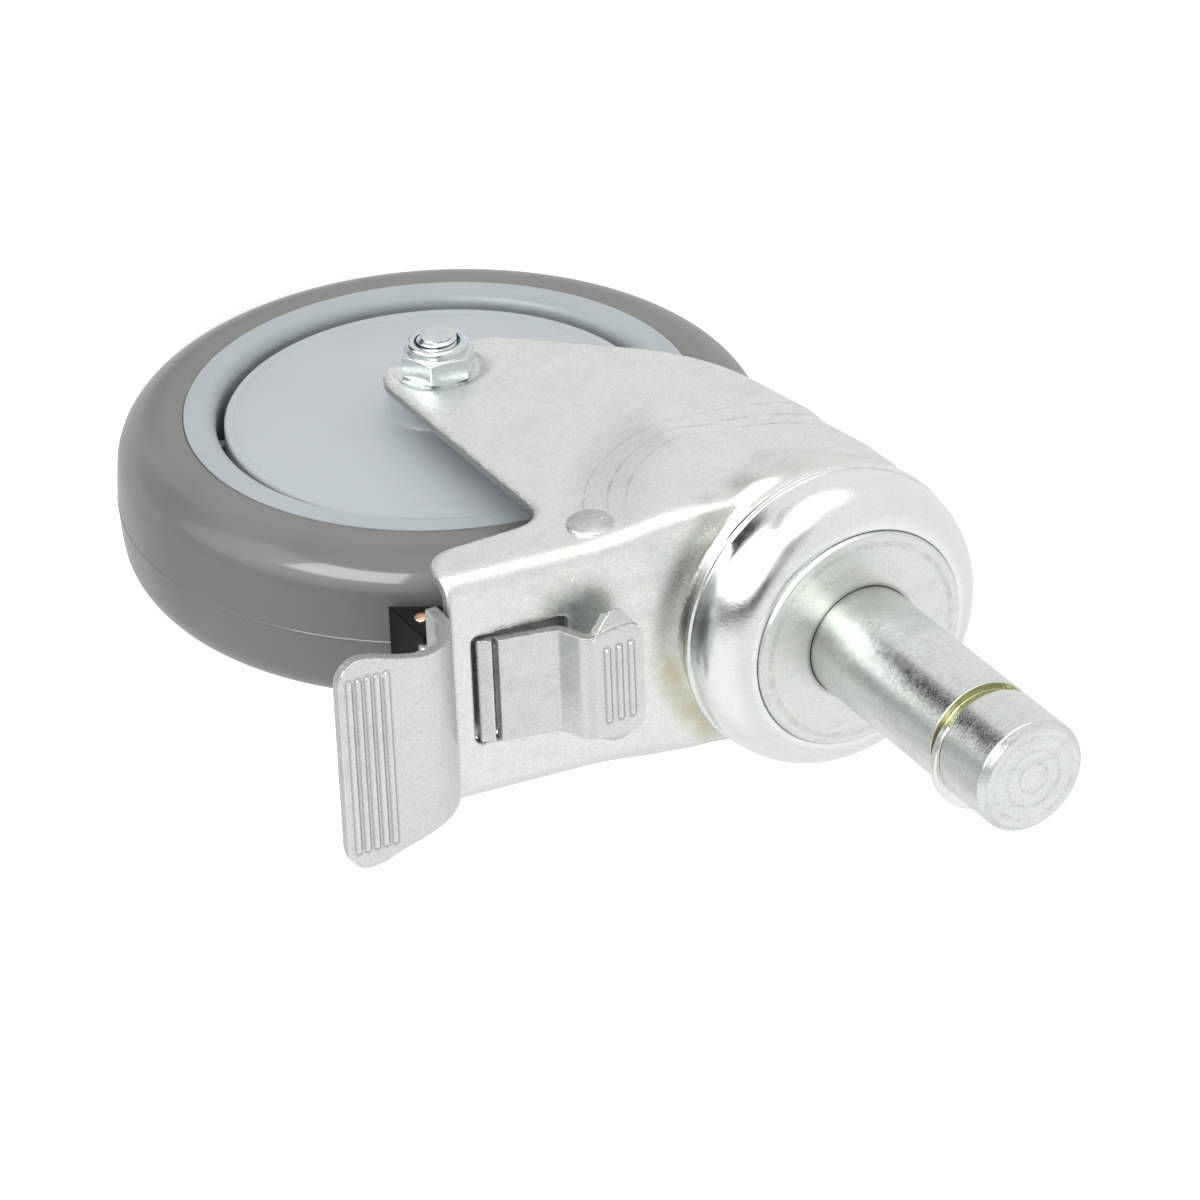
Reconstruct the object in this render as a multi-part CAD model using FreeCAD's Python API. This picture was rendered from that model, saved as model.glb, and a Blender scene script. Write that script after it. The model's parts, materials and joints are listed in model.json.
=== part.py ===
import FreeCAD, Part
import math
import os

os.makedirs("parts", exist_ok=True)

V = FreeCAD.Vector

# Swivel stem caster, millimetres. The origin is on the swivel axis at the stem's shoulder.
# +Z points up along the stem, and +X points towards the trailing side, where the brake pedal is.

# ---- wheel
WHEEL_RADIUS = 63.5
WHEEL_HALF_WIDTH = 16.2
TRAIL = 34.5
AXLE_Z = -97.4
RIM_RADIUS = 49.7
RIM_INNER_RADIUS = 43.6
RIM_LIP = 2.2
RIB_HALF_WIDTH = 5.0
RIB_HEIGHT = 1.5
WEB_HALF_THICKNESS = 3.0
HUB_RADIUS = 18.5
HUB_HALF_WIDTH = 12.8
SPOKE_COUNT = 12
SPOKE_THICKNESS = 2.4

# ---- wheel bearings, sleeve and axle bolt
BEARING_RADIUS = 14.0
BEARING_WIDTH = 8.0
BEARING_Y = 8.6
BEARING_BALL_RADIUS = 2.0
BEARING_PITCH_RADIUS = 10.0
BEARING_BALL_COUNT = 9
INNER_RACE_RADIUS = 8.6
OUTER_RACE_INNER_RADIUS = 11.4
SLEEVE_RADIUS = 6.0
BOLT_RADIUS = 4.0
BOLT_HOLE_RADIUS = 4.1
BOLT_END_Y = -31.1
HEX_ACROSS_FLATS = 13.0
HEX_TURN_DEG = 51.6
BOLT_HEAD_HEIGHT = 5.3
NUT_HEX_HEIGHT = 4.8
NUT_COLLAR_RADIUS = 6.05
NUT_HEIGHT = 6.6
GUARD_RADIUS = 42.0
GUARD_FACE_Y = 14.4
GUARD_BOSS_RADIUS = 10.0

# ---- stem and swivel head
STEM_RADIUS = 11.1
STEM_LENGTH = 57.15
STEM_CHAMFER = 1.3
STEM_FOOT_RADIUS = 10.9
GROOVE_LOW = 40.5
GROOVE_WIDTH = 3.0
GROOVE_RADIUS = 9.6
GRIP_RING_GAP_DEG = 95.0
SPIGOT_RADIUS = 8.0
COLLAR_RADIUS = 21.8
COLLAR_THICKNESS = 4.0
COLLAR_SEAT_DEPTH = 1.5
CAP_RADIUS = 29.5
CAP_EDGE_Z = -13.6
CAP_CEILING_Z = -7.0
CAP_WALL = 1.8
CAP_LIP = 0.5
UPPER_BALL_RADIUS = 3.0
UPPER_PITCH_RADIUS = 22.5
UPPER_BALL_Z = -9.75
UPPER_BALL_COUNT = 20
LOWER_BALL_RADIUS = 2.2
LOWER_PITCH_RADIUS = 14.6
LOWER_BALL_Z = -17.3
LOWER_BALL_COUNT = 16
LOWER_CUP_TOP_Z = -19.3
LOWER_CUP_THICKNESS = 2.7
LOWER_CUP_RADIUS = 18.5
PEEN_RADIUS = 10.5
PEEN_HEIGHT = 2.8

# ---- fork
SHEET = 2.8
CHEEK_Y = 24.0
BEND_RADIUS = 3.1
CROWN_TOP_Z = -14.8
CROWN_SLOPE = 0.1208
CROWN_END = 73.2
NECK_TOP_Z = -12.5
NECK_RADIUS = 28.6
NECK_CORNER = 4.2
NECK_BULGE_TOP_Z = -19.5
NECK_BULGE_FOOT_Z = -35.0
NECK_FRONT_EDGE_Z = -22.5
FORK_BORE_RADIUS = 10.2
AXLE_SEAT_RADIUS = 9.2
AXLE_SEAT_DEPTH = 0.8
WINDOW_START = 50.0
WINDOW_END = 68.9
WINDOW_HALF_WIDTH = 11.2
WINDOW_CORNER = 0.8

# ---- brake
RIVET_X = 40.3
RIVET_Z = -28.4
RIVET_RADIUS = 3.0
RIVET_HEAD_RADIUS = 4.85
RIVET_HEAD_HEIGHT = 1.4
PEDAL_SHEET = 2.4
PEDAL_AXIS_X = 71.1
PEDAL_AXIS_Z = -24.8
HOOK_INNER_RADIUS = 2.75
HOOK_HALF_WIDTH = 10.8
FLAP_END = 102.0
FLAP_TOP_Z = -11.1
FLAP_TIP_DROP = 1.2
FLAP_BEND_RADIUS = 12.0
FLAP_ROOT_HALF_WIDTH = 18.0
FLAP_HALF_WIDTH = 22.0
FLAP_CORNER = 4.7
FLAP_RIDGE_COUNT = 5
FLAP_RIDGE_START = 92.6
FLAP_RIDGE_PITCH = 1.85
FLAP_RIDGE_HALF_LENGTH = 17.8
TAB_SHEET = 2.2
TAB_END = 39.6
TAB_TOP_Z = -11.8
TAB_HALF_WIDTH = 11.4
TAB_WING_HALF_WIDTH = 14.0
TAB_WING_DROP = 2.4
TAB_WING_END = 47.0
TAB_PLATE_START = 64.9
TAB_PLATE_Z = -20.8
TAB_RIDGE_COUNT = 3
TAB_RIDGE_START = 42.3
TAB_RIDGE_PITCH = 2.5
TAB_RIDGE_HALF_LENGTH = 7.5
RIDGE_RADIUS = 0.8
RIDGE_HEIGHT = 0.4
SHOE_START = 58.0
SHOE_END = 74.4
SHOE_HALF_WIDTH = 9.2
SHOE_GAP = 1.75
SHOE_PIN_X = 71.1
SHOE_PIN_Z = -38.5
SHOE_PIN_RADIUS = 1.6
ARM_SHEET = 2.0
ARM_HALF_WIDTH = 8.0
ARM_PLATE_Z = -31.05
ARM_END = 75.8
ARM_HUB_RADIUS = 4.6
ARM_HUB_HALF_LENGTH = 20.9
ARM_EAR_Y = 4.0
ARM_EAR_RADIUS = 3.0
SPRING_HALF_LENGTH = 4.1
SPRING_RADIUS = 4.0
SPRING_WIRE_RADIUS = 0.6
SPRING_GAP_HALF_WIDTH = 5.0

RUNNING_GAP = 0.05
CHEEK_INNER_Y = CHEEK_Y - SHEET
SEAT_Y = CHEEK_Y - AXLE_SEAT_DEPTH
SEAT_INNER_Y = CHEEK_INNER_Y - AXLE_SEAT_DEPTH
ARM_UNDERSIDE_Z = ARM_PLATE_Z - ARM_SHEET / 2


# ---- drawing and solid helpers

def in_xz(x, z):
    return V(x, 0, z)


def in_xy(x, y):
    return V(x, y, 0)


def in_yz(y, z):
    return V(0, y, z)


def on_wheel(y, radius):
    """Point of a wheel section: distance along the axle, then distance from it."""
    return V(TRAIL, y, AXLE_Z + radius)


def face_from(place, start, *steps):
    """Closed face; a step of one point is a line, and one of two points is an arc's middle and end."""
    edges = []
    here = place(*start)
    for step in steps + (start,):
        is_arc = isinstance(step[0], tuple)
        end = place(*step[1]) if is_arc else place(*step)
        if is_arc:
            edges.append(Part.Arc(here, place(*step[0]), end).toShape())
        elif here.distanceToPoint(end) > 1e-6:
            edges.append(Part.LineSegment(here, end).toShape())
        here = end
    return Part.Face(Part.Wire(edges))


def about_stem(face):
    return face.revolve(V(0, 0, 0), V(0, 0, 1), 360)


def about_axle(face):
    return face.revolve(V(TRAIL, 0, AXLE_Z), V(0, 1, 0), 360)


def across(face, half_width):
    """Extrude a face of the XZ plane to both sides along Y."""
    moved = face.copy()
    moved.translate(V(0, -half_width, 0))
    return moved.extrude(V(0, 2 * half_width, 0))


def axle_rod(radius, y_low, y_high):
    return rod(TRAIL, AXLE_Z, radius, y_low, y_high)


def rod(x, z, radius, y_low, y_high):
    """Cylinder along Y."""
    return Part.makeCylinder(radius, y_high - y_low, V(x, y_low, z), V(0, 1, 0))


def block(x_low, x_high, y_low, y_high, z_low, z_high):
    return Part.makeBox(x_high - x_low, y_high - y_low, z_high - z_low, V(x_low, y_low, z_low))


def mirrored(shape):
    """The same shape on the other side of the XZ plane."""
    return shape.mirror(V(0, 0, 0), V(0, 1, 0))


def sheet_edge(place, points, radii, offset):
    """Edges parallel to a bent centre line, at a signed distance to its left."""
    edges = []
    here = None
    spots = [V(x, y, 0) for x, y in points]
    for index in range(1, len(spots)):
        heading = (spots[index] - spots[index - 1]).normalize()
        left = V(-heading.y, heading.x, 0)
        if here is None:
            here = spots[0] + left * offset
        if index == len(spots) - 1:
            end = spots[index] + left * offset
            edges.append(Part.LineSegment(place(here.x, here.y), place(end.x, end.y)).toShape())
            return edges
        ahead = (spots[index + 1] - spots[index]).normalize()
        ahead_left = V(-ahead.y, ahead.x, 0)
        turn = math.atan2(heading.cross(ahead).z, heading.dot(ahead))
        side = math.copysign(1.0, turn)
        radius = radii[index - 1]
        reach = radius * math.tan(abs(turn) / 2)
        centre = spots[index] - heading * reach + left * (side * radius)
        arc_start = spots[index] - heading * reach + left * offset
        arc_end = spots[index] + ahead * reach + ahead_left * offset
        arc_middle = centre + (spots[index] - centre).normalize() * (radius - side * offset)
        if here.distanceToPoint(arc_start) > 1e-6:
            straight = Part.LineSegment(place(here.x, here.y), place(arc_start.x, arc_start.y))
            edges.append(straight.toShape())
        bend = Part.Arc(place(arc_start.x, arc_start.y), place(arc_middle.x, arc_middle.y),
                        place(arc_end.x, arc_end.y))
        edges.append(bend.toShape())
        here = arc_end
    return edges


def sheet_face(place, points, radii, thickness):
    """Section of a bent sheet with a centre line through the points, rounded by the radii."""
    left = sheet_edge(place, points, radii, thickness / 2)
    right = sheet_edge(place, points, radii, -thickness / 2)
    start_cap = Part.LineSegment(right[0].Vertexes[0].Point, left[0].Vertexes[0].Point).toShape()
    end_cap = Part.LineSegment(left[-1].Vertexes[-1].Point, right[-1].Vertexes[-1].Point).toShape()
    loop = Part.sortEdges(left + [end_cap] + right + [start_cap])[0]
    return Part.Face(Part.Wire(loop))


def dome_rise(radius, height):
    """Height of a spherical cap at half its base radius."""
    ball = (radius ** 2 + height ** 2) / (2 * height)
    return math.sqrt(ball ** 2 - radius ** 2 / 4) - (ball - height)


def torus_about_stem(pitch_radius, z, radius):
    return Part.makeTorus(pitch_radius, radius, V(0, 0, z), V(0, 0, 1))


def torus_about_axle(y, pitch_radius, radius):
    return Part.makeTorus(pitch_radius, radius, V(TRAIL, y, AXLE_Z), V(0, 1, 0))


def hexagon_prism(y_low, y_high):
    """Hexagonal bar along the axle, with its corners rounded off at both ends."""
    corner = HEX_ACROSS_FLATS / math.sqrt(3)
    corners = [on_wheel(y_low, 0) + V(corner * math.cos(a), 0, corner * math.sin(a))
               for a in (math.radians(60 * k + HEX_TURN_DEG) for k in range(7))]
    bar = Part.Face(Part.makePolygon(corners)).extrude(V(0, y_high - y_low, 0))
    chamfer = 0.45
    flat = HEX_ACROSS_FLATS / 2
    turned = about_axle(face_from(on_wheel, (y_low, 0), (y_low, flat), (y_low + chamfer, corner),
                                  (y_high - chamfer, corner), (y_high, flat), (y_high, 0)))
    return bar.common(turned)


def save(name, shape):
    """Write one node, and stop if any of its solids isn't valid."""
    clean = shape.removeSplitter() if len(shape.Solids) == 1 else shape
    if not clean.isValid():
        raise ValueError(name + " isn't valid")
    print(f"{name:24s} solids {len(clean.Solids):3d}  volume {clean.Volume / 1000:8.3f} cm3")
    clean.exportStep("parts/" + name + ".step")


# ---- wheel

def tyre():
    bottom = RIM_RADIUS
    section = face_from(
        on_wheel,
        (-WHEEL_HALF_WIDTH, bottom),
        (-WHEEL_HALF_WIDTH + 0.2, 53.0),
        ((-13.4, 60.0), (-8.5, 62.9)),
        ((0, WHEEL_RADIUS), (8.5, 62.9)),
        ((13.4, 60.0), (WHEEL_HALF_WIDTH - 0.2, 53.0)),
        (WHEEL_HALF_WIDTH, bottom),
        (RIB_HALF_WIDTH, bottom),
        (RIB_HALF_WIDTH, bottom + RIB_HEIGHT),
        (-RIB_HALF_WIDTH, bottom + RIB_HEIGHT),
        (-RIB_HALF_WIDTH, bottom),
    )
    return about_axle(section)


def wheel_core():
    lip_y = WHEEL_HALF_WIDTH - RIM_LIP
    lip_radius = RIM_INNER_RADIUS + RIM_LIP
    bend = RIM_LIP * (1 - math.sqrt(0.5))
    rim = about_axle(face_from(
        on_wheel,
        (-lip_y, RIM_INNER_RADIUS),
        ((-WHEEL_HALF_WIDTH + bend, RIM_INNER_RADIUS + bend), (-WHEEL_HALF_WIDTH, lip_radius)),
        (-WHEEL_HALF_WIDTH, RIM_RADIUS),
        (-RIB_HALF_WIDTH, RIM_RADIUS),
        (-RIB_HALF_WIDTH, RIM_RADIUS + RIB_HEIGHT),
        (RIB_HALF_WIDTH, RIM_RADIUS + RIB_HEIGHT),
        (RIB_HALF_WIDTH, RIM_RADIUS),
        (WHEEL_HALF_WIDTH, RIM_RADIUS),
        (WHEEL_HALF_WIDTH, lip_radius),
        ((WHEEL_HALF_WIDTH - bend, RIM_INNER_RADIUS + bend), (lip_y, RIM_INNER_RADIUS)),
    ))
    web = axle_rod(RIM_INNER_RADIUS + 1, -WEB_HALF_THICKNESS, WEB_HALF_THICKNESS)
    hub = axle_rod(HUB_RADIUS, -HUB_HALF_WIDTH, HUB_HALF_WIDTH)
    core = rim.fuse([web, hub] + spokes())
    seat_depth = BEARING_Y - BEARING_WIDTH / 2
    for side in (-1, 1):
        ends = sorted((side * seat_depth, side * HUB_HALF_WIDTH))
        core = core.cut(axle_rod(BEARING_RADIUS, ends[0], ends[1]))
    return core.cut(axle_rod(OUTER_RACE_INNER_RADIUS, -seat_depth, seat_depth))


def spokes():
    """Stiffening ribs on both sides of the web, between the hub and the rim."""
    result = []
    top = 8.5
    for index in range(SPOKE_COUNT):
        rib = block(HUB_RADIUS - 1, RIM_INNER_RADIUS - 1.2, -top, top,
                    -SPOKE_THICKNESS / 2, SPOKE_THICKNESS / 2)
        tie = block(RIM_INNER_RADIUS - 2, RIM_INNER_RADIUS + 1, -top, top,
                    -SPOKE_THICKNESS / 2, SPOKE_THICKNESS / 2)
        spoke = rib.fuse(tie)
        spoke.rotate(V(0, 0, 0), V(0, 1, 0), 360 * index / SPOKE_COUNT)
        spoke.translate(V(TRAIL, 0, AXLE_Z))
        result.append(spoke)
    return result


def thread_guard():
    """Cover disc on the +Y side, held between the bearing's inner race and the fork cheek."""
    bearing_face = BEARING_Y + BEARING_WIDTH / 2
    inner_face = HUB_HALF_WIDTH + 0.4
    lip_radius = GUARD_RADIUS - 1.8
    bore = SLEEVE_RADIUS + RUNNING_GAP
    return about_axle(face_from(
        on_wheel,
        (bearing_face, bore),
        (bearing_face, INNER_RACE_RADIUS - 0.3),
        (inner_face, INNER_RACE_RADIUS - 0.3),
        (inner_face, lip_radius),
        (9.5, lip_radius),
        (9.5, GUARD_RADIUS),
        (GUARD_FACE_Y - 0.9, GUARD_RADIUS),
        ((GUARD_FACE_Y - 0.25, GUARD_RADIUS - 0.25), (GUARD_FACE_Y, GUARD_RADIUS - 0.9)),
        ((GUARD_FACE_Y + 0.5, 27.0), (GUARD_FACE_Y + 0.8, GUARD_BOSS_RADIUS)),
        (SEAT_INNER_Y, GUARD_BOSS_RADIUS),
        (SEAT_INNER_Y, bore),
    ))


def bearing_race(y, r_low, r_high):
    half = BEARING_WIDTH / 2
    ring = axle_rod(r_high, y - half, y + half).cut(axle_rod(r_low, y - half, y + half))
    return ring.cut(torus_about_axle(y, BEARING_PITCH_RADIUS, BEARING_BALL_RADIUS + RUNNING_GAP))


def bearing_ball_centres(y):
    for index in range(BEARING_BALL_COUNT):
        angle = 2 * math.pi * index / BEARING_BALL_COUNT
        yield on_wheel(y, 0) + V(math.cos(angle), 0, math.sin(angle)) * BEARING_PITCH_RADIUS


def bearing_balls(y):
    return Part.Compound([Part.makeSphere(BEARING_BALL_RADIUS, c) for c in bearing_ball_centres(y)])


def bearing_cage(y):
    """Crown cage: a ring beside the balls, with a pocket round each one."""
    ring = axle_rod(10.8, y + 0.7, y + 2.9).cut(axle_rod(9.2, y + 0.7, y + 2.9))
    for centre in bearing_ball_centres(y):
        ring = ring.cut(Part.makeSphere(BEARING_BALL_RADIUS + 0.1, centre))
    return ring


def axle_sleeve():
    tube = axle_rod(SLEEVE_RADIUS, -SEAT_INNER_Y, SEAT_INNER_Y)
    return tube.cut(axle_rod(BOLT_HOLE_RADIUS, -SEAT_INNER_Y, SEAT_INNER_Y))


def axle_bolt():
    shank = about_axle(face_from(on_wheel, (BOLT_END_Y, 0), (BOLT_END_Y, BOLT_RADIUS - 0.8),
                                 (BOLT_END_Y + 0.8, BOLT_RADIUS), (SEAT_Y, BOLT_RADIUS),
                                 (SEAT_Y, 0)))
    return shank.fuse(hexagon_prism(SEAT_Y, SEAT_Y + BOLT_HEAD_HEIGHT))


def nut_insert_span():
    """Where the nylon ring sits along the axle."""
    top = -SEAT_Y - NUT_HEIGHT
    return top + 0.8, top + 2.4


def lock_nut():
    top = -SEAT_Y - NUT_HEIGHT
    insert_low, insert_high = nut_insert_span()
    nut = hexagon_prism(-SEAT_Y - NUT_HEX_HEIGHT, -SEAT_Y)
    collar = about_axle(face_from(on_wheel, (top + 3.0, 0), (top + 3.0, NUT_COLLAR_RADIUS),
                                  (top + 0.9, NUT_COLLAR_RADIUS),
                                  ((top + 0.25, NUT_COLLAR_RADIUS - 0.25), (top, 4.9)), (top, 0)))
    nut = nut.fuse(collar)
    nut = nut.cut(axle_rod(BOLT_RADIUS + RUNNING_GAP, top - 1, -SEAT_Y + 1))
    nut = nut.cut(axle_rod(4.45, top - 1, insert_low + 0.05))
    return nut.cut(axle_rod(5.2, insert_low, insert_high))


def nylon_insert():
    low, high = nut_insert_span()
    return axle_rod(5.2, low, high).cut(axle_rod(BOLT_RADIUS + 0.02, low, high))


# ---- stem and swivel head

def stem_post():
    """Stem with its foot, spigot through the swivel head, and the riveted end below it."""
    top = STEM_LENGTH
    groove_high = GROOVE_LOW + GROOVE_WIDTH
    cup_low = LOWER_CUP_TOP_Z - LOWER_CUP_THICKNESS
    neck = SPIGOT_RADIUS - 0.5
    return about_stem(face_from(
        in_xz,
        (0, top),
        (STEM_RADIUS - STEM_CHAMFER, top),
        (STEM_RADIUS, top - STEM_CHAMFER),
        (STEM_RADIUS, groove_high),
        (GROOVE_RADIUS, groove_high),
        (GROOVE_RADIUS, GROOVE_LOW),
        (STEM_RADIUS, GROOVE_LOW),
        (STEM_RADIUS, 0),
        (STEM_FOOT_RADIUS, 0),
        (STEM_FOOT_RADIUS, -COLLAR_SEAT_DEPTH),
        (SPIGOT_RADIUS, -COLLAR_SEAT_DEPTH),
        (SPIGOT_RADIUS, LOWER_CUP_TOP_Z),
        (neck, LOWER_CUP_TOP_Z),
        (neck, cup_low),
        (PEEN_RADIUS, cup_low),
        ((PEEN_RADIUS / 2, cup_low - dome_rise(PEEN_RADIUS, PEEN_HEIGHT)), (0, cup_low - PEEN_HEIGHT)),
    ))


def grip_ring():
    """Split spring ring, pressed flush into the stem's groove, as it sits inside a socket."""
    low = GROOVE_LOW + 0.8
    ring = Part.makeCylinder(STEM_RADIUS - 0.02, 1.4, V(0, 0, low))
    ring = ring.cut(Part.makeCylinder(GROOVE_RADIUS + 0.1, 1.4, V(0, 0, low)))
    gap = Part.makeCylinder(STEM_RADIUS + 2, 1.4, V(0, 0, low), V(0, 0, 1), GRIP_RING_GAP_DEG)
    gap.rotate(V(0, 0, 0), V(0, 0, 1), 270 - GRIP_RING_GAP_DEG / 2)
    return ring.cut(gap)


def stem_collar():
    """Flat washer under the stem's shoulder, with a shallow seat that the stem stands in."""
    edge = 0.6
    seat = STEM_RADIUS + RUNNING_GAP
    return about_stem(face_from(in_xz, (seat, 0), (COLLAR_RADIUS - edge, 0),
                                (COLLAR_RADIUS, -edge), (COLLAR_RADIUS, -COLLAR_THICKNESS),
                                (SPIGOT_RADIUS, -COLLAR_THICKNESS),
                                (SPIGOT_RADIUS, -COLLAR_SEAT_DEPTH),
                                (seat, -COLLAR_SEAT_DEPTH)))


def top_cap():
    """Rounded cover of the upper ball race, pressed with a seat for the collar."""
    shoulder_z = -1.0
    inner_radius = CAP_RADIUS - CAP_WALL
    cap = about_stem(face_from(
        in_xz,
        (SPIGOT_RADIUS, -COLLAR_THICKNESS),
        (COLLAR_RADIUS + 0.05, -COLLAR_THICKNESS),
        (COLLAR_RADIUS + 0.05, shoulder_z),
        (COLLAR_RADIUS + 1.0, shoulder_z),
        ((CAP_RADIUS - 1.8, shoulder_z - 3.6), (CAP_RADIUS, CAP_EDGE_Z + 2.6)),
        (CAP_RADIUS, CAP_EDGE_Z + 1.0),
        (CAP_RADIUS + CAP_LIP, CAP_EDGE_Z + 1.0),
        (CAP_RADIUS + CAP_LIP, CAP_EDGE_Z),
        (inner_radius, CAP_EDGE_Z),
        (inner_radius, CAP_CEILING_Z - 3.4),
        ((inner_radius - 1.0, CAP_CEILING_Z - 1.0), (inner_radius - 3.4, CAP_CEILING_Z)),
        (SPIGOT_RADIUS, CAP_CEILING_Z),
    ))
    return cap.cut(torus_about_stem(UPPER_PITCH_RADIUS, UPPER_BALL_Z, UPPER_BALL_RADIUS + RUNNING_GAP))


def lower_race_cup():
    low = LOWER_CUP_TOP_Z - LOWER_CUP_THICKNESS
    hole = SPIGOT_RADIUS - 0.5
    lip_inner = LOWER_CUP_RADIUS - 1.5
    cup = about_stem(face_from(in_xz, (hole, LOWER_CUP_TOP_Z), (lip_inner, LOWER_CUP_TOP_Z),
                               (lip_inner, -16.2), (LOWER_CUP_RADIUS, -16.2),
                               (LOWER_CUP_RADIUS, low + 1.0), (LOWER_CUP_RADIUS - 1.0, low),
                               (hole, low)))
    return cup.cut(torus_about_stem(LOWER_PITCH_RADIUS, LOWER_BALL_Z, LOWER_BALL_RADIUS + RUNNING_GAP))


def ball_ring(count, pitch_radius, z, radius):
    balls = []
    for index in range(count):
        angle = 2 * math.pi * index / count
        centre = V(pitch_radius * math.cos(angle), pitch_radius * math.sin(angle), z)
        balls.append(Part.makeSphere(radius, centre))
    return Part.Compound(balls)


# ---- fork

def crown_top(x):
    return CROWN_TOP_Z - CROWN_SLOPE * x


def folded_sheet():
    """Sheet folded over the wheel: two cheeks and a crown that slopes down to the pedal."""
    start_x = -40.0
    middle = CHEEK_Y - SHEET / 2
    crown_middle = crown_top(start_x) - SHEET / 2
    section = sheet_face(in_yz, [(-middle, -160), (-middle, crown_middle),
                                 (middle, crown_middle), (middle, -160)],
                         [BEND_RADIUS, BEND_RADIUS], SHEET)
    section.translate(V(start_x, 0, 0))
    length = CROWN_END + 60 - start_x
    return section.extrude(V(length, 0, -CROWN_SLOPE * length))


def cheek_outline():
    """Side view of the fork: a leg down to the axle, and a shallow skirt beside the pedal."""
    return face_from(
        in_xz,
        (-19.6, NECK_TOP_Z - 4.5),
        (14.0, NECK_TOP_Z - 4.5),
        (14.0, 0),
        (CROWN_END, 0),
        (CROWN_END, -29.0),
        ((71.1, -33.6), (66.5, -35.6)),
        (52.5, -35.4),
        ((47.4, -37.7), (45.9, -42.5)),
        (46.1, -96.0),
        ((43.9, -101.9), (38.5, -104.2)),
        (24.5, -104.2),
        ((20.6, -103.3), (17.3, -100.9)),
        (0.2, -84.6),
        ((-9.0, -73.0), (-13.9, -58.5)),
        (-19.6, -26.5),
    )


def neck():
    """Bell that carries both ball races and bulges past the cheeks under the cap."""
    flat_low = NECK_TOP_Z - SHEET
    inner = NECK_RADIUS - SHEET
    diagonal = NECK_CORNER * (1 - math.sqrt(0.5))
    bell = about_stem(face_from(
        in_xz,
        (FORK_BORE_RADIUS, NECK_TOP_Z),
        (NECK_RADIUS - NECK_CORNER, NECK_TOP_Z),
        ((NECK_RADIUS - diagonal, NECK_TOP_Z - diagonal), (NECK_RADIUS, NECK_TOP_Z - NECK_CORNER)),
        (NECK_RADIUS, NECK_BULGE_TOP_Z),
        (CHEEK_Y, NECK_BULGE_FOOT_Z),
        (CHEEK_INNER_Y, NECK_BULGE_FOOT_Z),
        (inner, NECK_BULGE_TOP_Z),
        (inner, flat_low - 2),
        (inner - 2, flat_low),
        (FORK_BORE_RADIUS, flat_low),
    ))
    inside = block(-40, 40, -CHEEK_INNER_Y, CHEEK_INNER_Y, -60, NECK_FRONT_EDGE_Z)
    upper_race = torus_about_stem(UPPER_PITCH_RADIUS, UPPER_BALL_Z, UPPER_BALL_RADIUS + RUNNING_GAP)
    lower_race = torus_about_stem(LOWER_PITCH_RADIUS, LOWER_BALL_Z, LOWER_BALL_RADIUS + RUNNING_GAP)
    return bell.cut(inside).cut(upper_race).cut(lower_race)


def window():
    """Opening in the crown that the pedal's hook and the release tab come through."""
    half = WINDOW_HALF_WIDTH
    corner = WINDOW_CORNER
    hole = block(WINDOW_START, WINDOW_END, -half, half, -40, 0)
    edges = [e for e in hole.Edges if abs(e.Vertexes[0].Z - e.Vertexes[1].Z) > 1]
    return hole.makeFillet(corner, edges)


def inner_seat():
    """Where the sheet is pressed inwards round the axle, as far as the cheek reaches."""
    seat = axle_rod(AXLE_SEAT_RADIUS, SEAT_INNER_Y, CHEEK_Y - 1)
    return seat.common(across(cheek_outline(), 60))


def fork():
    bell_inside = Part.makeCylinder(NECK_RADIUS - SHEET, 40, V(0, 0, NECK_FRONT_EDGE_Z + 1))
    body = folded_sheet().common(across(cheek_outline(), 60))
    body = body.cut(bell_inside)
    body = body.fuse([neck(), inner_seat(), mirrored(inner_seat())])
    body = body.cut(axle_rod(AXLE_SEAT_RADIUS, SEAT_Y, 60))
    body = body.cut(axle_rod(AXLE_SEAT_RADIUS, -60, -SEAT_Y))
    body = body.cut(window())
    body = body.cut(axle_rod(BOLT_HOLE_RADIUS, -60, 60))
    return body.cut(rod(RIVET_X, RIVET_Z, RIVET_RADIUS, -60, 60))


# ---- brake

def pivot_rivet():
    """Cross rivet through both cheeks, on which the brake arm turns."""
    shank = rod(RIVET_X, RIVET_Z, RIVET_RADIUS, -CHEEK_Y, CHEEK_Y)
    edge = 0.4
    rise = dome_rise(RIVET_HEAD_RADIUS, RIVET_HEAD_HEIGHT - edge)
    head = face_from(in_yz, (CHEEK_Y, 0), (CHEEK_Y, RIVET_HEAD_RADIUS),
                     (CHEEK_Y + edge, RIVET_HEAD_RADIUS),
                     ((CHEEK_Y + edge + rise, RIVET_HEAD_RADIUS / 2),
                      (CHEEK_Y + RIVET_HEAD_HEIGHT, 0)))
    head = head.revolve(V(0, 0, 0), V(0, 1, 0), 360)
    head.translate(V(RIVET_X, 0, RIVET_Z))
    return shank.fuse([head, mirrored(head)])


def ridges(count, start, pitch, half_length, surface):
    """Low round ridges along Y; surface(x) is the height of the sheet under each."""
    drop = RIDGE_RADIUS - RIDGE_HEIGHT
    result = []
    for index in range(count):
        x = start + index * pitch
        result.append(rod(x, surface(x) - drop, RIDGE_RADIUS, -half_length, half_length))
    return result


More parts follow.
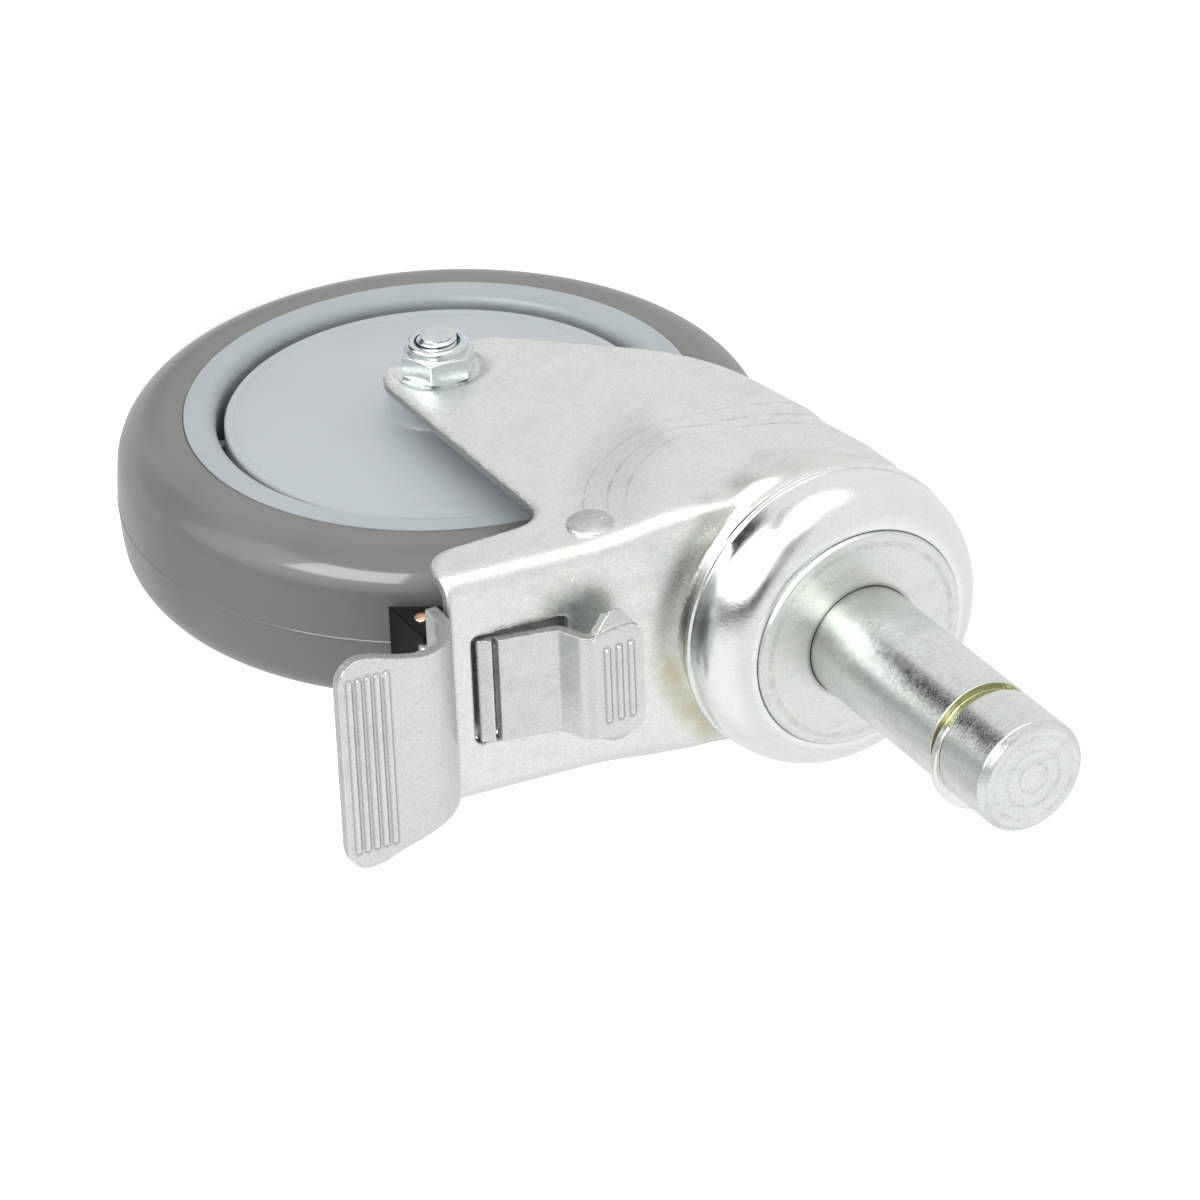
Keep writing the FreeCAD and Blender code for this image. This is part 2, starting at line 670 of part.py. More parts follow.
def pedal_plan():
    """Top view of the flap: it flares out to rounded corners at its end."""
    root = FLAP_ROOT_HALF_WIDTH
    wide = FLAP_HALF_WIDTH
    tip = FLAP_END
    bend = FLAP_CORNER * (1 - math.sqrt(0.5))
    return face_from(
        in_xy,
        (70, -root),
        (79, -root),
        ((87, -root - 1.2), (94.5, -wide + 0.4)),
        (tip - FLAP_CORNER, -wide),
        ((tip - bend, -wide + bend), (tip, -wide + FLAP_CORNER)),
        (tip, wide - FLAP_CORNER),
        ((tip - bend, wide - bend), (tip - FLAP_CORNER, wide)),
        (94.5, wide - 0.4),
        ((87, root + 1.2), (79, root)),
        (70, root),
    )


def brake_pedal():
    """Rocking pedal: a tongue in the window, a hook round the crown's end bar, and the foot flap."""
    hook = HOOK_INNER_RADIUS + PEDAL_SHEET / 2
    riser_x = PEDAL_AXIS_X + hook
    flap_middle = FLAP_TOP_Z - PEDAL_SHEET / 2
    flap_end = (FLAP_END + 1, flap_middle - FLAP_TIP_DROP)
    hook_low = PEDAL_AXIS_Z - hook
    hook_path = [(65.4, -22.45), (PEDAL_AXIS_X - hook, -23.4), (PEDAL_AXIS_X - hook, hook_low),
                 (riser_x, hook_low), (riser_x, PEDAL_AXIS_Z + 2)]
    hook_sheet = across(sheet_face(in_xz, hook_path, [1.4, hook - 0.02, hook - 0.02], PEDAL_SHEET),
                        HOOK_HALF_WIDTH)
    flap_path = [(riser_x, -27.5), (riser_x, flap_middle), flap_end]
    flap = across(sheet_face(in_xz, flap_path, [FLAP_BEND_RADIUS], PEDAL_SHEET), FLAP_HALF_WIDTH + 5)
    plan = pedal_plan()
    plan.translate(V(0, 0, -60))
    flap = flap.common(plan.extrude(V(0, 0, 80)))
    tongue = across(sheet_face(in_xz, [(66.9, -24.75), (55.6, -22.02)], [], PEDAL_SHEET),
                    HOOK_HALF_WIDTH - 1.5)
    outside = hook + PEDAL_SHEET / 2
    cam = block(PEDAL_AXIS_X, PEDAL_AXIS_X + outside, -ARM_HALF_WIDTH, ARM_HALF_WIDTH,
                PEDAL_AXIS_Z - outside, PEDAL_AXIS_Z - hook + 0.5)
    window_face = PEDAL_AXIS_X - HOOK_INNER_RADIUS - RUNNING_GAP
    shoulder = across(face_from(in_xz, (66.1, -21.55), (window_face, -22.75),
                                (window_face, PEDAL_AXIS_Z), (66.1, PEDAL_AXIS_Z)),
                      HOOK_HALF_WIDTH)

    def flap_surface(x):
        return FLAP_TOP_Z - FLAP_TIP_DROP * (x - riser_x) / (FLAP_END + 1 - riser_x)

    bumps = ridges(FLAP_RIDGE_COUNT, FLAP_RIDGE_START, FLAP_RIDGE_PITCH, FLAP_RIDGE_HALF_LENGTH,
                   flap_surface)
    return flap.fuse([hook_sheet, tongue, cam, shoulder] + bumps)


def tab_plan():
    """Top view of the release tab: it widens to a rounded end near the stem."""
    wide = TAB_HALF_WIDTH
    narrow = HOOK_HALF_WIDTH
    corner = 3.0
    bend = corner * (1 - math.sqrt(0.5))
    return face_from(
        in_xy,
        (TAB_PLATE_START, -narrow),
        (50.5, -narrow),
        (46.0, -wide),
        (TAB_END + corner, -wide),
        ((TAB_END + bend, -wide + bend), (TAB_END, -wide + corner)),
        (TAB_END, wide - corner),
        ((TAB_END + bend, wide - bend), (TAB_END + corner, wide)),
        (46.0, wide),
        (50.5, narrow),
        (TAB_PLATE_START, narrow),
    )


def tab_wing():
    """Edge of the release tab on the +Y side, bent down along its raised end."""
    top = TAB_TOP_Z
    root = TAB_HALF_WIDTH - 1.0
    plan = face_from(
        in_xy,
        (TAB_END + 0.6, root - 1),
        (TAB_END + 0.6, TAB_HALF_WIDTH - 1.6),
        (TAB_END + 3.2, TAB_WING_HALF_WIDTH),
        (TAB_WING_END - 2.0, TAB_WING_HALF_WIDTH),
        (TAB_WING_END + 3.0, HOOK_HALF_WIDTH - 0.2),
        (TAB_WING_END + 3.0, root - 1),
    )
    plan.translate(V(0, 0, -60))
    section = face_from(
        in_yz,
        (root, top),
        (TAB_WING_HALF_WIDTH, top - TAB_WING_DROP),
        (TAB_WING_HALF_WIDTH - 1.0, top - TAB_WING_DROP - 1.7),
        (root, top - TAB_SHEET),
    )
    section.translate(V(TAB_END, 0, 0))
    return section.extrude(V(TAB_WING_END + 4 - TAB_END, 0, 0)).common(plan.extrude(V(0, 0, 80)))


def release_tab():
    """Upper sheet of the rocker, fixed on the pedal's tongue, with the raised release tab."""
    half = TAB_SHEET / 2
    path = [(TAB_PLATE_START + 1, TAB_PLATE_Z - half - 0.24), (53.4, -19.1),
            (50.7, TAB_TOP_Z - half), (TAB_END - 1, TAB_TOP_Z - half)]
    sheet = across(sheet_face(in_xz, path, [2.0, 2.4], TAB_SHEET), TAB_HALF_WIDTH + 2)
    plan = tab_plan()
    plan.translate(V(0, 0, -60))
    sheet = sheet.common(plan.extrude(V(0, 0, 80)))
    bumps = ridges(TAB_RIDGE_COUNT, TAB_RIDGE_START, TAB_RIDGE_PITCH, TAB_RIDGE_HALF_LENGTH,
                   lambda x: TAB_TOP_Z)
    return sheet.fuse([tab_wing(), mirrored(tab_wing())] + bumps)


def brake_arm():
    """Lever from the cross rivet to the shoe: a strip, two hub tubes, and two ears for the shoe's pin."""
    path = [(RIVET_X + 2.0, RIVET_Z), (46.0, RIVET_Z), (55.0, ARM_PLATE_Z), (ARM_END, ARM_PLATE_Z)]
    strip = across(sheet_face(in_xz, path, [3.0, 3.0], ARM_SHEET), ARM_HALF_WIDTH)
    spring_room = block(RIVET_X - 6, RIVET_X + 6, -SPRING_GAP_HALF_WIDTH, SPRING_GAP_HALF_WIDTH,
                        RIVET_Z - 8, RIVET_Z + 8)
    hub = rod(RIVET_X, RIVET_Z, ARM_HUB_RADIUS, -ARM_HUB_HALF_LENGTH, ARM_HUB_HALF_LENGTH)
    arm = strip.fuse([hub, arm_ear(0), mirrored(arm_ear(0))]).cut(spring_room)
    arm = arm.cut(rod(SHOE_PIN_X, SHOE_PIN_Z, SHOE_PIN_RADIUS, -60, 60))
    return arm.cut(rod(RIVET_X, RIVET_Z, RIVET_RADIUS + RUNNING_GAP, -60, 60))


def arm_ear(spare):
    """Ear on the +Y side, bent down from the arm's strip; spare widens it to make the shoe's slot."""
    low_y = ARM_EAR_Y - spare
    high_y = ARM_EAR_Y + ARM_SHEET + spare
    radius = ARM_EAR_RADIUS + spare
    upright = block(SHOE_PIN_X - radius, SHOE_PIN_X + radius, low_y, high_y, SHOE_PIN_Z, ARM_PLATE_Z)
    return upright.fuse(rod(SHOE_PIN_X, SHOE_PIN_Z, radius, low_y, high_y))


def brake_shoe():
    """Moulded block under the arm, hollowed along the tread, with slots for the arm's ears."""
    body = block(SHOE_START, SHOE_END, -SHOE_HALF_WIDTH, SHOE_HALF_WIDTH, -60, ARM_UNDERSIDE_Z)
    body = body.cut(axle_rod(WHEEL_RADIUS + SHOE_GAP, -60, 60))
    slot = arm_ear(RUNNING_GAP)
    body = body.cut([slot, mirrored(slot)])
    return body.cut(rod(SHOE_PIN_X, SHOE_PIN_Z, SHOE_PIN_RADIUS, -60, 60))


def shoe_pin():
    """Rivet across the shoe and the arm's ears, with slightly domed ends."""
    end = SHOE_HALF_WIDTH + 0.5
    rise = dome_rise(SHOE_PIN_RADIUS, 0.5)
    half = face_from(in_yz, (0, 0), (0, SHOE_PIN_RADIUS), (SHOE_HALF_WIDTH, SHOE_PIN_RADIUS),
                     ((SHOE_HALF_WIDTH + rise, SHOE_PIN_RADIUS / 2), (end, 0)))
    half = half.revolve(V(0, 0, 0), V(0, 1, 0), 360)
    half.translate(V(SHOE_PIN_X, 0, SHOE_PIN_Z))
    return half.fuse(mirrored(half))


def arm_spring():
    """Torsion spring on the cross rivet: its legs bear on the crown and on the arm."""
    turns = 5.75
    length = 2 * (SPRING_HALF_LENGTH - SPRING_WIRE_RADIUS)
    turn_frame = FreeCAD.Rotation(V(0, 0, 1), V(-1, 0, 0), V(0, -1, 0), "XYZ")
    helix = Part.makeHelix(length / turns, length, SPRING_RADIUS)
    section = Part.Wire(Part.makeCircle(SPRING_WIRE_RADIUS, V(SPRING_RADIUS, 0, 0), V(0, 1, 0)))
    coil = Part.Wire(helix.Edges).makePipeShell([section], True, True)
    coil.Placement = FreeCAD.Placement(V(RIVET_X, length / 2, RIVET_Z), turn_frame)
    top_leg = Part.makeCylinder(SPRING_WIRE_RADIUS, 7.5,
                                V(RIVET_X - 0.3, length / 2, RIVET_Z + SPRING_RADIUS), V(1, 0, 0))
    side_leg = Part.makeCylinder(SPRING_WIRE_RADIUS, 4.2,
                                 V(RIVET_X + SPRING_RADIUS, -length / 2, RIVET_Z - 0.3), V(0, 0, 1))
    return coil.fuse([top_leg, side_leg])


# ---- write every node

save("stem_post", stem_post())
save("grip_ring", grip_ring())
save("stem_collar", stem_collar())
save("top_cap", top_cap())
save("lower_race_cup", lower_race_cup())
save("upper_swivel_balls", ball_ring(UPPER_BALL_COUNT, UPPER_PITCH_RADIUS, UPPER_BALL_Z, UPPER_BALL_RADIUS))
save("lower_swivel_balls", ball_ring(LOWER_BALL_COUNT, LOWER_PITCH_RADIUS, LOWER_BALL_Z, LOWER_BALL_RADIUS))

save("fork", fork())
save("axle_bolt", axle_bolt())
save("lock_nut", lock_nut())
save("nylon_insert", nylon_insert())
save("axle_sleeve", axle_sleeve())
save("pivot_rivet", pivot_rivet())
save("arm_spring", arm_spring())

save("tyre", tyre())
save("wheel_core", wheel_core())

save("brake_pedal", brake_pedal())
save("release_tab", release_tab())
save("brake_arm", brake_arm())
save("brake_shoe", brake_shoe())
save("shoe_pin", shoe_pin())

for label, sign in (("left", 1), ("right", -1)):
    centre_y = sign * BEARING_Y
    save("thread_guard_" + label, thread_guard() if sign > 0 else mirrored(thread_guard()))
    save("bearing_inner_race_" + label, bearing_race(centre_y, SLEEVE_RADIUS, INNER_RACE_RADIUS))
    save("bearing_outer_race_" + label, bearing_race(centre_y, OUTER_RACE_INNER_RADIUS, BEARING_RADIUS))
    save("bearing_balls_" + label, bearing_balls(centre_y))
    save("bearing_cage_" + label, bearing_cage(centre_y))
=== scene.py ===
import json
import math

import bmesh
import bpy
import numpy as np
from mathutils import Matrix, Vector


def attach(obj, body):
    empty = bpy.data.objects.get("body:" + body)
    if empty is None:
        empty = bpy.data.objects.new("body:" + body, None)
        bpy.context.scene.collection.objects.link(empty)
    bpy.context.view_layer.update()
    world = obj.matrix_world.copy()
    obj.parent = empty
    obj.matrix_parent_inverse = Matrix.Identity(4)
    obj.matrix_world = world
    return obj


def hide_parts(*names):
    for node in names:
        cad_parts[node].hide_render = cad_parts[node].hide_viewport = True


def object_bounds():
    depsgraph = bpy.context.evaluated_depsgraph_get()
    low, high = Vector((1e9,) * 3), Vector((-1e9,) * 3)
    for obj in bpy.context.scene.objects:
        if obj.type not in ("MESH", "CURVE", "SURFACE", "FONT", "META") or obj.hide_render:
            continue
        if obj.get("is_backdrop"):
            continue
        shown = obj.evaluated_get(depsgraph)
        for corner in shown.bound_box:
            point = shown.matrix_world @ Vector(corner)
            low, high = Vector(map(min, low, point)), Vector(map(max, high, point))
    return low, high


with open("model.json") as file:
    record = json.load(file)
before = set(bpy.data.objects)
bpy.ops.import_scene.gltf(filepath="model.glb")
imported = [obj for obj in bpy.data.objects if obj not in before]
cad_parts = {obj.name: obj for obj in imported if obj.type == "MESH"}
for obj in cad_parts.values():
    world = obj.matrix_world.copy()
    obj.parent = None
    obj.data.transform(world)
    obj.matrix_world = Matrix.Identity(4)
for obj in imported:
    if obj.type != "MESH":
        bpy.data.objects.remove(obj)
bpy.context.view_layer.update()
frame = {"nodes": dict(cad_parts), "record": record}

MM = 0.001
RECORD = frame["record"]
JOINTS = {joint["name"]: joint for joint in RECORD["behaviour"]["joints"]}
AXLE = Vector(JOINTS["wheel_spin"]["pos_m"]) / MM

# ---- mesh settings: SUPPORT is the distance in mm from a rounded corner to the loop that holds it

LATHE_STEPS = 192
WHEEL_LATHE_STEPS = 256
ARC_STEPS = 6
SUPPORT = 0.12
SHARP_DEG = 38.0
SOFT_SHARP_DEG = 75.0

# ---- shape dimensions in millimetres, on the frame's own axes

STEM_RADIUS = 11.1
STEM_TOP = 57.15
# turn of the stem's stripe of speckled stain and painted dark reflection
STEM_STAIN_AND_REFLECTION_TURN_DEG = -55.0
END_RINGS = ((2.9, 0.10, 0.35), (5.6, 0.10, 0.4))  # radius, half width, softness
END_STEP_RADIUS = 8.3
SPIGOT_RADIUS = 8.0
SPIGOT_END_RADIUS = 10.5
GROOVE_LOW = 40.5
GROOVE_HIGH = 43.5
GROOVE_RADIUS = 9.6
COLLAR_RADIUS = 21.8
COLLAR_LOW = -4.0
COLLAR_STEP_Z = -1.5
CAP_RADIUS = 29.5
CAP_EDGE_Z = -13.6
CAP_UNDER_Z = -7.0
RING_MIDDLE_RADIUS = 10.75
RING_THICKNESS = 2.0
RING_LOW = 41.6
RING_HIGH = 43.4
RING_OFFSET = 1.45
RING_OFFSET_DEG = 80.0
RING_GAP_DEG = 95.0
RING_GAP_MIDDLE_DEG = 270.0

TYRE_RADIUS = 63.5
TYRE_SIDE_Y = 16.2
RIM_RADIUS = 49.7
GUARD_RADIUS = 42.0
GUARD_FACE_Y = 14.4
GUARD_BORE_RADIUS = 6.05
GUARD_BACK_Y = 9.5
SEAT_INNER_Y = 20.4
AXLE_SEAT_RADIUS = 8.6
NECK_TOP_Z = -16.5
NECK_BELOW_Z = -19.0
NECK_FOOT_RADIUS = 31.0
FLARE = 2.2
CROWN_MIDDLE_Z = -14.8
CROWN_SLOPE = -0.1208
PANEL_PRESS = 0.07
WINDOW_HALF_WIDTH = 12.5
DIE_LINE_CENTRE = (6.0, 0.0, -16.0)
DIE_LINES = ((33.0, 0.05, 0.45), (37.5, 0.05, 0.35), (29.5, 0.05, 0.3))  # radius, half width, softness
FLAP_RIDGES_X = [92.6 + 1.85 * k for k in range(5)]
FLAP_RIDGE_REACH = 17.8
FLAP_LOW_Z = -14.0
TAB_RIDGES_X = [42.3 + 2.5 * k for k in range(3)]
TAB_RIDGE_REACH = 7.5
TAB_LOW_Z = -13.0
TAB_END_X = 41.5
RIDGE_RISE = 0.10
RIDGE_GROOVE = 0.12
THREAD_PITCH = 1.25
THREAD_DEPTH = 0.5
BOLT_RADIUS = 4.0
THREAD_CORE_RADIUS = 3.3

# ---- tints of the zinc and of its painted shade, as linear RGB

WARM_ZINC = (0.81, 0.82, 0.76)
COOL_ZINC = (0.74, 0.80, 0.82)
PASSIVATION_YELLOW_AND_SHADE = (0.54, 0.53, 0.30)
GROOVE_SHADE = (0.20, 0.21, 0.19)
SHEARED_GREY = (0.27, 0.28, 0.25)
MARK_AND_SHADE_GREY = (0.30, 0.31, 0.28)
SCRATCH_PALE = (0.92, 0.93, 0.92)
POLISHED = (0.96, 0.97, 0.96)
CREVICE_SHADE = (0.25, 0.25, 0.23)

# ---- camera: its place in metres, its lens in millimetres

CAMERA_PLACE = (0.5024, -0.5742, 0.8072)
CAMERA_AZIMUTH_DEG = 39.256
CAMERA_ELEVATION_DEG = 48.780
CAMERA_ROLL_DEG = 130.365
CAMERA_LENS = 180.0


# ---- node helpers

def add(tree, kind, inputs=None, **settings):
    """Adds a shader node. Each input is a value, or a socket to link from."""
    made = tree.nodes.new(kind)
    for name, value in settings.items():
        setattr(made, name, value)
    for name, value in (inputs or {}).items():
        if isinstance(value, bpy.types.NodeSocket):
            tree.links.new(value, made.inputs[name])
        else:
            made.inputs[name].default_value = value
    return made


def maths(tree, operation, first, second=0.0, clamp=False):
    """Output of one maths node, on values or sockets."""
    return add(tree, "ShaderNodeMath", {0: first, 1: second}, operation=operation,
               use_clamp=clamp).outputs[0]


def product(tree, first, *others):
    """The product of two or more values."""
    for other in others:
        first = maths(tree, "MULTIPLY", first, other)
    return first


def total(tree, first, *others):
    """The sum of two or more values."""
    for other in others:
        first = maths(tree, "ADD", first, other)
    return first


def highest(tree, first, *others):
    """The largest of two or more values."""
    for other in others:
        first = maths(tree, "MAXIMUM", first, other)
    return first


def spread(tree, value, low, high, to_low=0.0, to_high=1.0, smooth=False):
    """Maps low..high to to_low..to_high, clamped at both ends."""
    kind = "SMOOTHSTEP" if smooth else "LINEAR"
    return add(tree, "ShaderNodeMapRange",
               {"Value": value, "From Min": low, "From Max": high, "To Min": to_low, "To Max": to_high},
               interpolation_type=kind).outputs["Result"]


def noise(tree, where, scale, detail=3.0, rough=0.55, distortion=0.0):
    """Noise from 0 to 1, mostly between 0.3 and 0.7."""
    return add(tree, "ShaderNodeTexNoise",
               {"Vector": where, "Scale": scale, "Detail": detail, "Roughness": rough,
                "Distortion": distortion}).outputs["Fac"]


def mixed(tree, share, first, second):
    """Mixes two colours, each an RGB tuple or a socket."""
    made = add(tree, "ShaderNodeMix", {0: share}, data_type="RGBA")
    for index, colour in ((6, first), (7, second)):
        if isinstance(colour, bpy.types.NodeSocket):
            tree.links.new(colour, made.inputs[index])
        else:
            made.inputs[index].default_value = tuple(colour) + (1.0,)
    return made.outputs[2]


def stretched(tree, where, factors):
    """The point with each coordinate scaled by its own factor."""
    return add(tree, "ShaderNodeVectorMath", {0: where, 1: factors}, operation="MULTIPLY").outputs[0]


def object_point(tree):
    """Point of the mesh in the frame's own axes, in millimetres."""
    coordinates = add(tree, "ShaderNodeTexCoord").outputs["Object"]
    return stretched(tree, coordinates, (1 / MM, 1 / MM, 1 / MM))


def distance_from(tree, where, centre, axis):
    """Distance from a line through the centre, along the named axis."""
    flat = tuple(0.0 if name == axis else 1.0 for name in "XYZ")
    moved = add(tree, "ShaderNodeVectorMath", {0: where, 1: tuple(centre)}, operation="SUBTRACT").outputs[0]
    flattened = stretched(tree, moved, flat)
    return add(tree, "ShaderNodeVectorMath", {0: flattened}, operation="LENGTH").outputs["Value"]


def band(tree, value, middle, half_width, softness):
    """1 where the value is within half_width of the middle, fading over the softness."""
    gap = maths(tree, "ABSOLUTE", maths(tree, "SUBTRACT", value, middle))
    return spread(tree, gap, half_width, half_width + softness, 1.0, 0.0, smooth=True)


def edge_mask(tree, low=0.515, high=0.56):
    """1 on outer edges, from the mesh's pointiness."""
    pointiness = add(tree, "ShaderNodeNewGeometry").outputs["Pointiness"]
    return spread(tree, pointiness, low, high)


def hollow_mask(tree):
    """1 in inner corners, from the mesh's pointiness, where shade is painted."""
    pointiness = add(tree, "ShaderNodeNewGeometry").outputs["Pointiness"]
    return spread(tree, pointiness, 0.48, 0.42)


def scaled(tint, factor):
    """The tint made lighter or darker."""
    return tuple(min(1.0, factor * c) for c in tint)


def new_material(name):
    """An empty material: (material, node tree, output node)."""
    material = bpy.data.materials.new(name)
    material.use_nodes = True
    tree = material.node_tree
    tree.nodes.clear()
    output = add(tree, "ShaderNodeOutputMaterial")
    return material, tree, output


def finish_material(tree, output, inputs, height, bump_strength, bump_depth):
    """Principled shader with a bump from heights of about 0 to 1, bump_depth in mm."""
    bump = add(tree, "ShaderNodeBump", {"Strength": bump_strength, "Distance": bump_depth * MM,
                                        "Height": height})
    inputs["Normal"] = bump.outputs[0]
    shader = add(tree, "ShaderNodeBsdfPrincipled", inputs)
    tree.links.new(shader.outputs[0], output.inputs["Surface"])


# ---- materials

def zinc(name, tint, rough, mottle, grain, warm=WARM_ZINC, cool=COOL_ZINC,
         marks=None, cut_edges=False, turned_along=None, shade=None, stain=None, wear=0.8):
    """Zinc plated steel: mottled tint, fine grain, worn edges, small scratches and painted shade in inner
    corners.

    marks is a function of (tree, point) that gives extra dark marks with painted shade and dark reflection,
    shade one that gives the share of a darker tint as painted dark reflection, and stain one for the yellow
    of the passivation with painted shade in the ring's groove.
    turned_along is the axis of turning marks, and wear how far the edges are polished.
    """
    material, tree, output = new_material(name)
    point = object_point(tree)
    clouds = noise(tree, point, 0.075, 4.0, 0.6, 0.4)
    patches = noise(tree, point, 0.33, 5.0, 0.65)
    speckle = noise(tree, point, 2.2, 3.0, 0.75)
    fine = noise(tree, point, 5.5, 2.0, 0.6)
    dull = scaled(tint, 0.55)
    colour = mixed(tree, spread(tree, clouds, 0.38, 0.62, 0.0, 0.7 * mottle), tint, warm)
    colour = mixed(tree, spread(tree, patches, 0.45, 0.65, 0.0, 0.7 * mottle), colour, cool)
    colour = mixed(tree, spread(tree, speckle, 0.48, 0.68, 0.0, 0.6 * grain), colour, dull)
    smears = noise(tree, stretched(tree, point, (0.06, 0.14, 0.09)), 1.0, 6.0, 0.7, 1.2)
    colour = mixed(tree, spread(tree, smears, 0.5, 0.7, 0.0, 0.45 * mottle), colour, dull)
    roughness = spread(tree, patches, 0.3, 0.7, rough - 0.07, rough + 0.09)
    roughness = total(tree, roughness, spread(tree, speckle, 0.4, 0.75, 0.0, 0.10 * grain))
    height = total(tree, product(tree, speckle, 0.7), product(tree, fine, 0.3))
    if turned_along:
        lines = tuple(3.2 if axis == turned_along else 0.05 for axis in "XYZ")
        turning = noise(tree, stretched(tree, point, lines), 1.0, 3.0, 0.6)
        height = total(tree, height, product(tree, turning, 0.2))
        colour = mixed(tree, spread(tree, turning, 0.5, 0.7, 0.0, 0.22), colour, dull)
        roughness = total(tree, roughness, spread(tree, turning, 0.4, 0.7, 0.0, 0.07))
    # painted dark reflection: a darker copy of the tint, where the shade function asks for it
    if shade:
        colour = mixed(tree, shade(tree, point), colour, scaled(tint, 0.62))
    # stain: yellow of the passivation, and painted shade in the ring's groove
    if stain:
        colour = mixed(tree, stain(tree, point), colour, PASSIVATION_YELLOW_AND_SHADE)
    if cut_edges:
        # painted shade: the grooves round the pressed ridges darkened where shade falls in them
        groove = add(tree, "ShaderNodeAttribute", attribute_name="groove").outputs["Fac"]
        colour = mixed(tree, groove, colour, GROOVE_SHADE)
        cut = add(tree, "ShaderNodeAttribute", attribute_name="cut_edge").outputs["Fac"]
        torn = noise(tree, stretched(tree, point, (1.3, 1.3, 1.3)), 1.6, 5.0, 0.75)
        torn_share = product(tree, cut, spread(tree, torn, 0.35, 0.65, 0.5, 0.95))
        colour = mixed(tree, torn_share, colour, SHEARED_GREY)
        roughness = total(tree, roughness, product(tree, cut, 0.16))
        height = total(tree, height, product(tree, cut, torn, 2.5))
    # marks: dark marks, with painted shade and painted dark reflection where the marks function adds them
    if marks:
        colour = mixed(tree, marks(tree, point), colour, MARK_AND_SHADE_GREY)
    scratch_field = noise(tree, stretched(tree, point, (0.25, 4.0, 0.6)), 1.0, 2.0, 0.5, 0.6)
    scratches = band(tree, scratch_field, 0.5, 0.004, 0.006)
    colour = mixed(tree, product(tree, scratches, 0.04), colour, SCRATCH_PALE)
    worn = product(tree, edge_mask(tree), spread(tree, patches, 0.35, 0.6, 0.35 * wear, wear))
    colour = mixed(tree, worn, colour, POLISHED)
    roughness = maths(tree, "SUBTRACT", roughness, product(tree, worn, 0.10), clamp=True)
    # painted shade: inner corners darkened where shade would fall
    colour = mixed(tree, product(tree, hollow_mask(tree), 0.5), colour, CREVICE_SHADE)
    finish_material(tree, output, {"Base Color": colour, "Metallic": 1.0, "Roughness": roughness},
                    height, 1.0, 0.10 * grain + 0.012)
    return material


def plastic(name, tint, rough, mottle, grain=0.25, coat=0.0, lines=None, gloss=0.5):
    """Moulded plastic or rubber: faint flow marks, fine grain, slightly polished edges and painted shade in
    inner corners.
    """
    material, tree, output = new_material(name)
    point = object_point(tree)
    clouds = noise(tree, point, 0.04, 2.0, 0.4)
    speckle = noise(tree, point, 3.5, 4.0, 0.7)
    fine = noise(tree, point, 14.0, 2.0, 0.5)
    darker = scaled(tint, 1 - 2.2 * mottle)
    lighter = scaled(tint, 1 + 1.6 * mottle)
    colour = mixed(tree, spread(tree, clouds, 0.35, 0.65), darker, lighter)
    colour = mixed(tree, spread(tree, speckle, 0.55, 0.8, 0.0, 0.35), colour, darker)
    roughness = spread(tree, clouds, 0.3, 0.7, rough - 0.05, rough + 0.06)
    height = total(tree, product(tree, speckle, 0.6), product(tree, fine, 0.4))
    if lines:
        height = total(tree, height, lines(tree, point))
    polished = edge_mask(tree, 0.53, 0.62)
    colour = mixed(tree, product(tree, polished, 0.35), colour, scaled(tint, 1.35))
    # painted shade: inner corners darkened where shade would fall
    colour = mixed(tree, product(tree, hollow_mask(tree), 0.4), colour, scaled(tint, 0.4))
    finish_material(tree, output,
                    {"Base Color": colour, "Roughness": roughness, "Coat Weight": coat,
                     "Coat Roughness": 0.07, "Specular IOR Level": gloss},
                    height, grain, 0.03)
    return material


def stem_marks_and_painted_light(tree, point):
    """Faint rings on the stem's end face, stains along its side, a stripe of speckled stain and painted dark
    reflection down one side, and a painted shadow line at its foot.
    """
    split = add(tree, "ShaderNodeSeparateXYZ", {0: point})
    radius = distance_from(tree, point, (0, 0, 0), "Z")
    height = split.outputs["Z"]
    top = spread(tree, height, STEM_TOP - 0.35, STEM_TOP - 0.1)
    below_top = maths(tree, "SUBTRACT", 1.0, top)
    rings = highest(tree, *[band(tree, radius, *ring) for ring in END_RINGS],
                    product(tree, band(tree, radius, END_STEP_RADIUS, 0.2, 0.5), 0.6))
    smudge = spread(tree, noise(tree, point, 0.6, 5.0, 0.7), 0.5, 0.62)
    end_marks = product(tree, top, rings, total(tree, product(tree, smudge, 0.3), 0.10))
    foot = spread(tree, height, 9.0, 0.0, 0.0, 0.45)
    patches = noise(tree, stretched(tree, point, (1, 1, 0.35)), 0.35, 6.0, 0.75)
    stains = product(tree, below_top, spread(tree, patches, 0.56, 0.72), 0.35)
    # painted dark reflection: a stripe down one side of the stem, partly speckled stain, darkened where the
    # studio's dark band is reflected
    turn = maths(tree, "ARCTAN2", split.outputs["Y"], split.outputs["X"])
    stripe = band(tree, turn, math.radians(STEM_STAIN_AND_REFLECTION_TURN_DEG), 0.07, 0.12)
    speckle = spread(tree, noise(tree, point, 1.6, 5.0, 0.8), 0.42, 0.6, 0.15, 0.7)
    stain_and_dark_reflection = product(tree, stripe, spread(tree, height, 12.0, 22.0), below_top, speckle)
    return highest(tree, end_marks, stains, stain_and_dark_reflection, foot)


def groove_yellow_and_shade(tree, point):
    """The ring's groove, where the passivation is yellow, with painted shade in it."""
    height = add(tree, "ShaderNodeSeparateXYZ", {0: point}).outputs["Z"]
    return product(tree, band(tree, height, (GROOVE_LOW + GROOVE_HIGH) / 2, 1.45, 0.15), 0.9)


def collar_marks(tree, point):
    """Ring worn into the collar's face, and its shadowed line round the stem."""
    radius = distance_from(tree, point, (0, 0, 0), "Z")
    worn = spread(tree, noise(tree, point, 0.5, 5.0, 0.7), 0.42, 0.6, 0.05, 0.35)
    ring = product(tree, band(tree, radius, COLLAR_RADIUS - 2.2, 0.3, 0.5), worn)
    foot = product(tree, band(tree, radius, STEM_RADIUS, 0.25, 0.9), 0.6)
    return highest(tree, ring, foot)


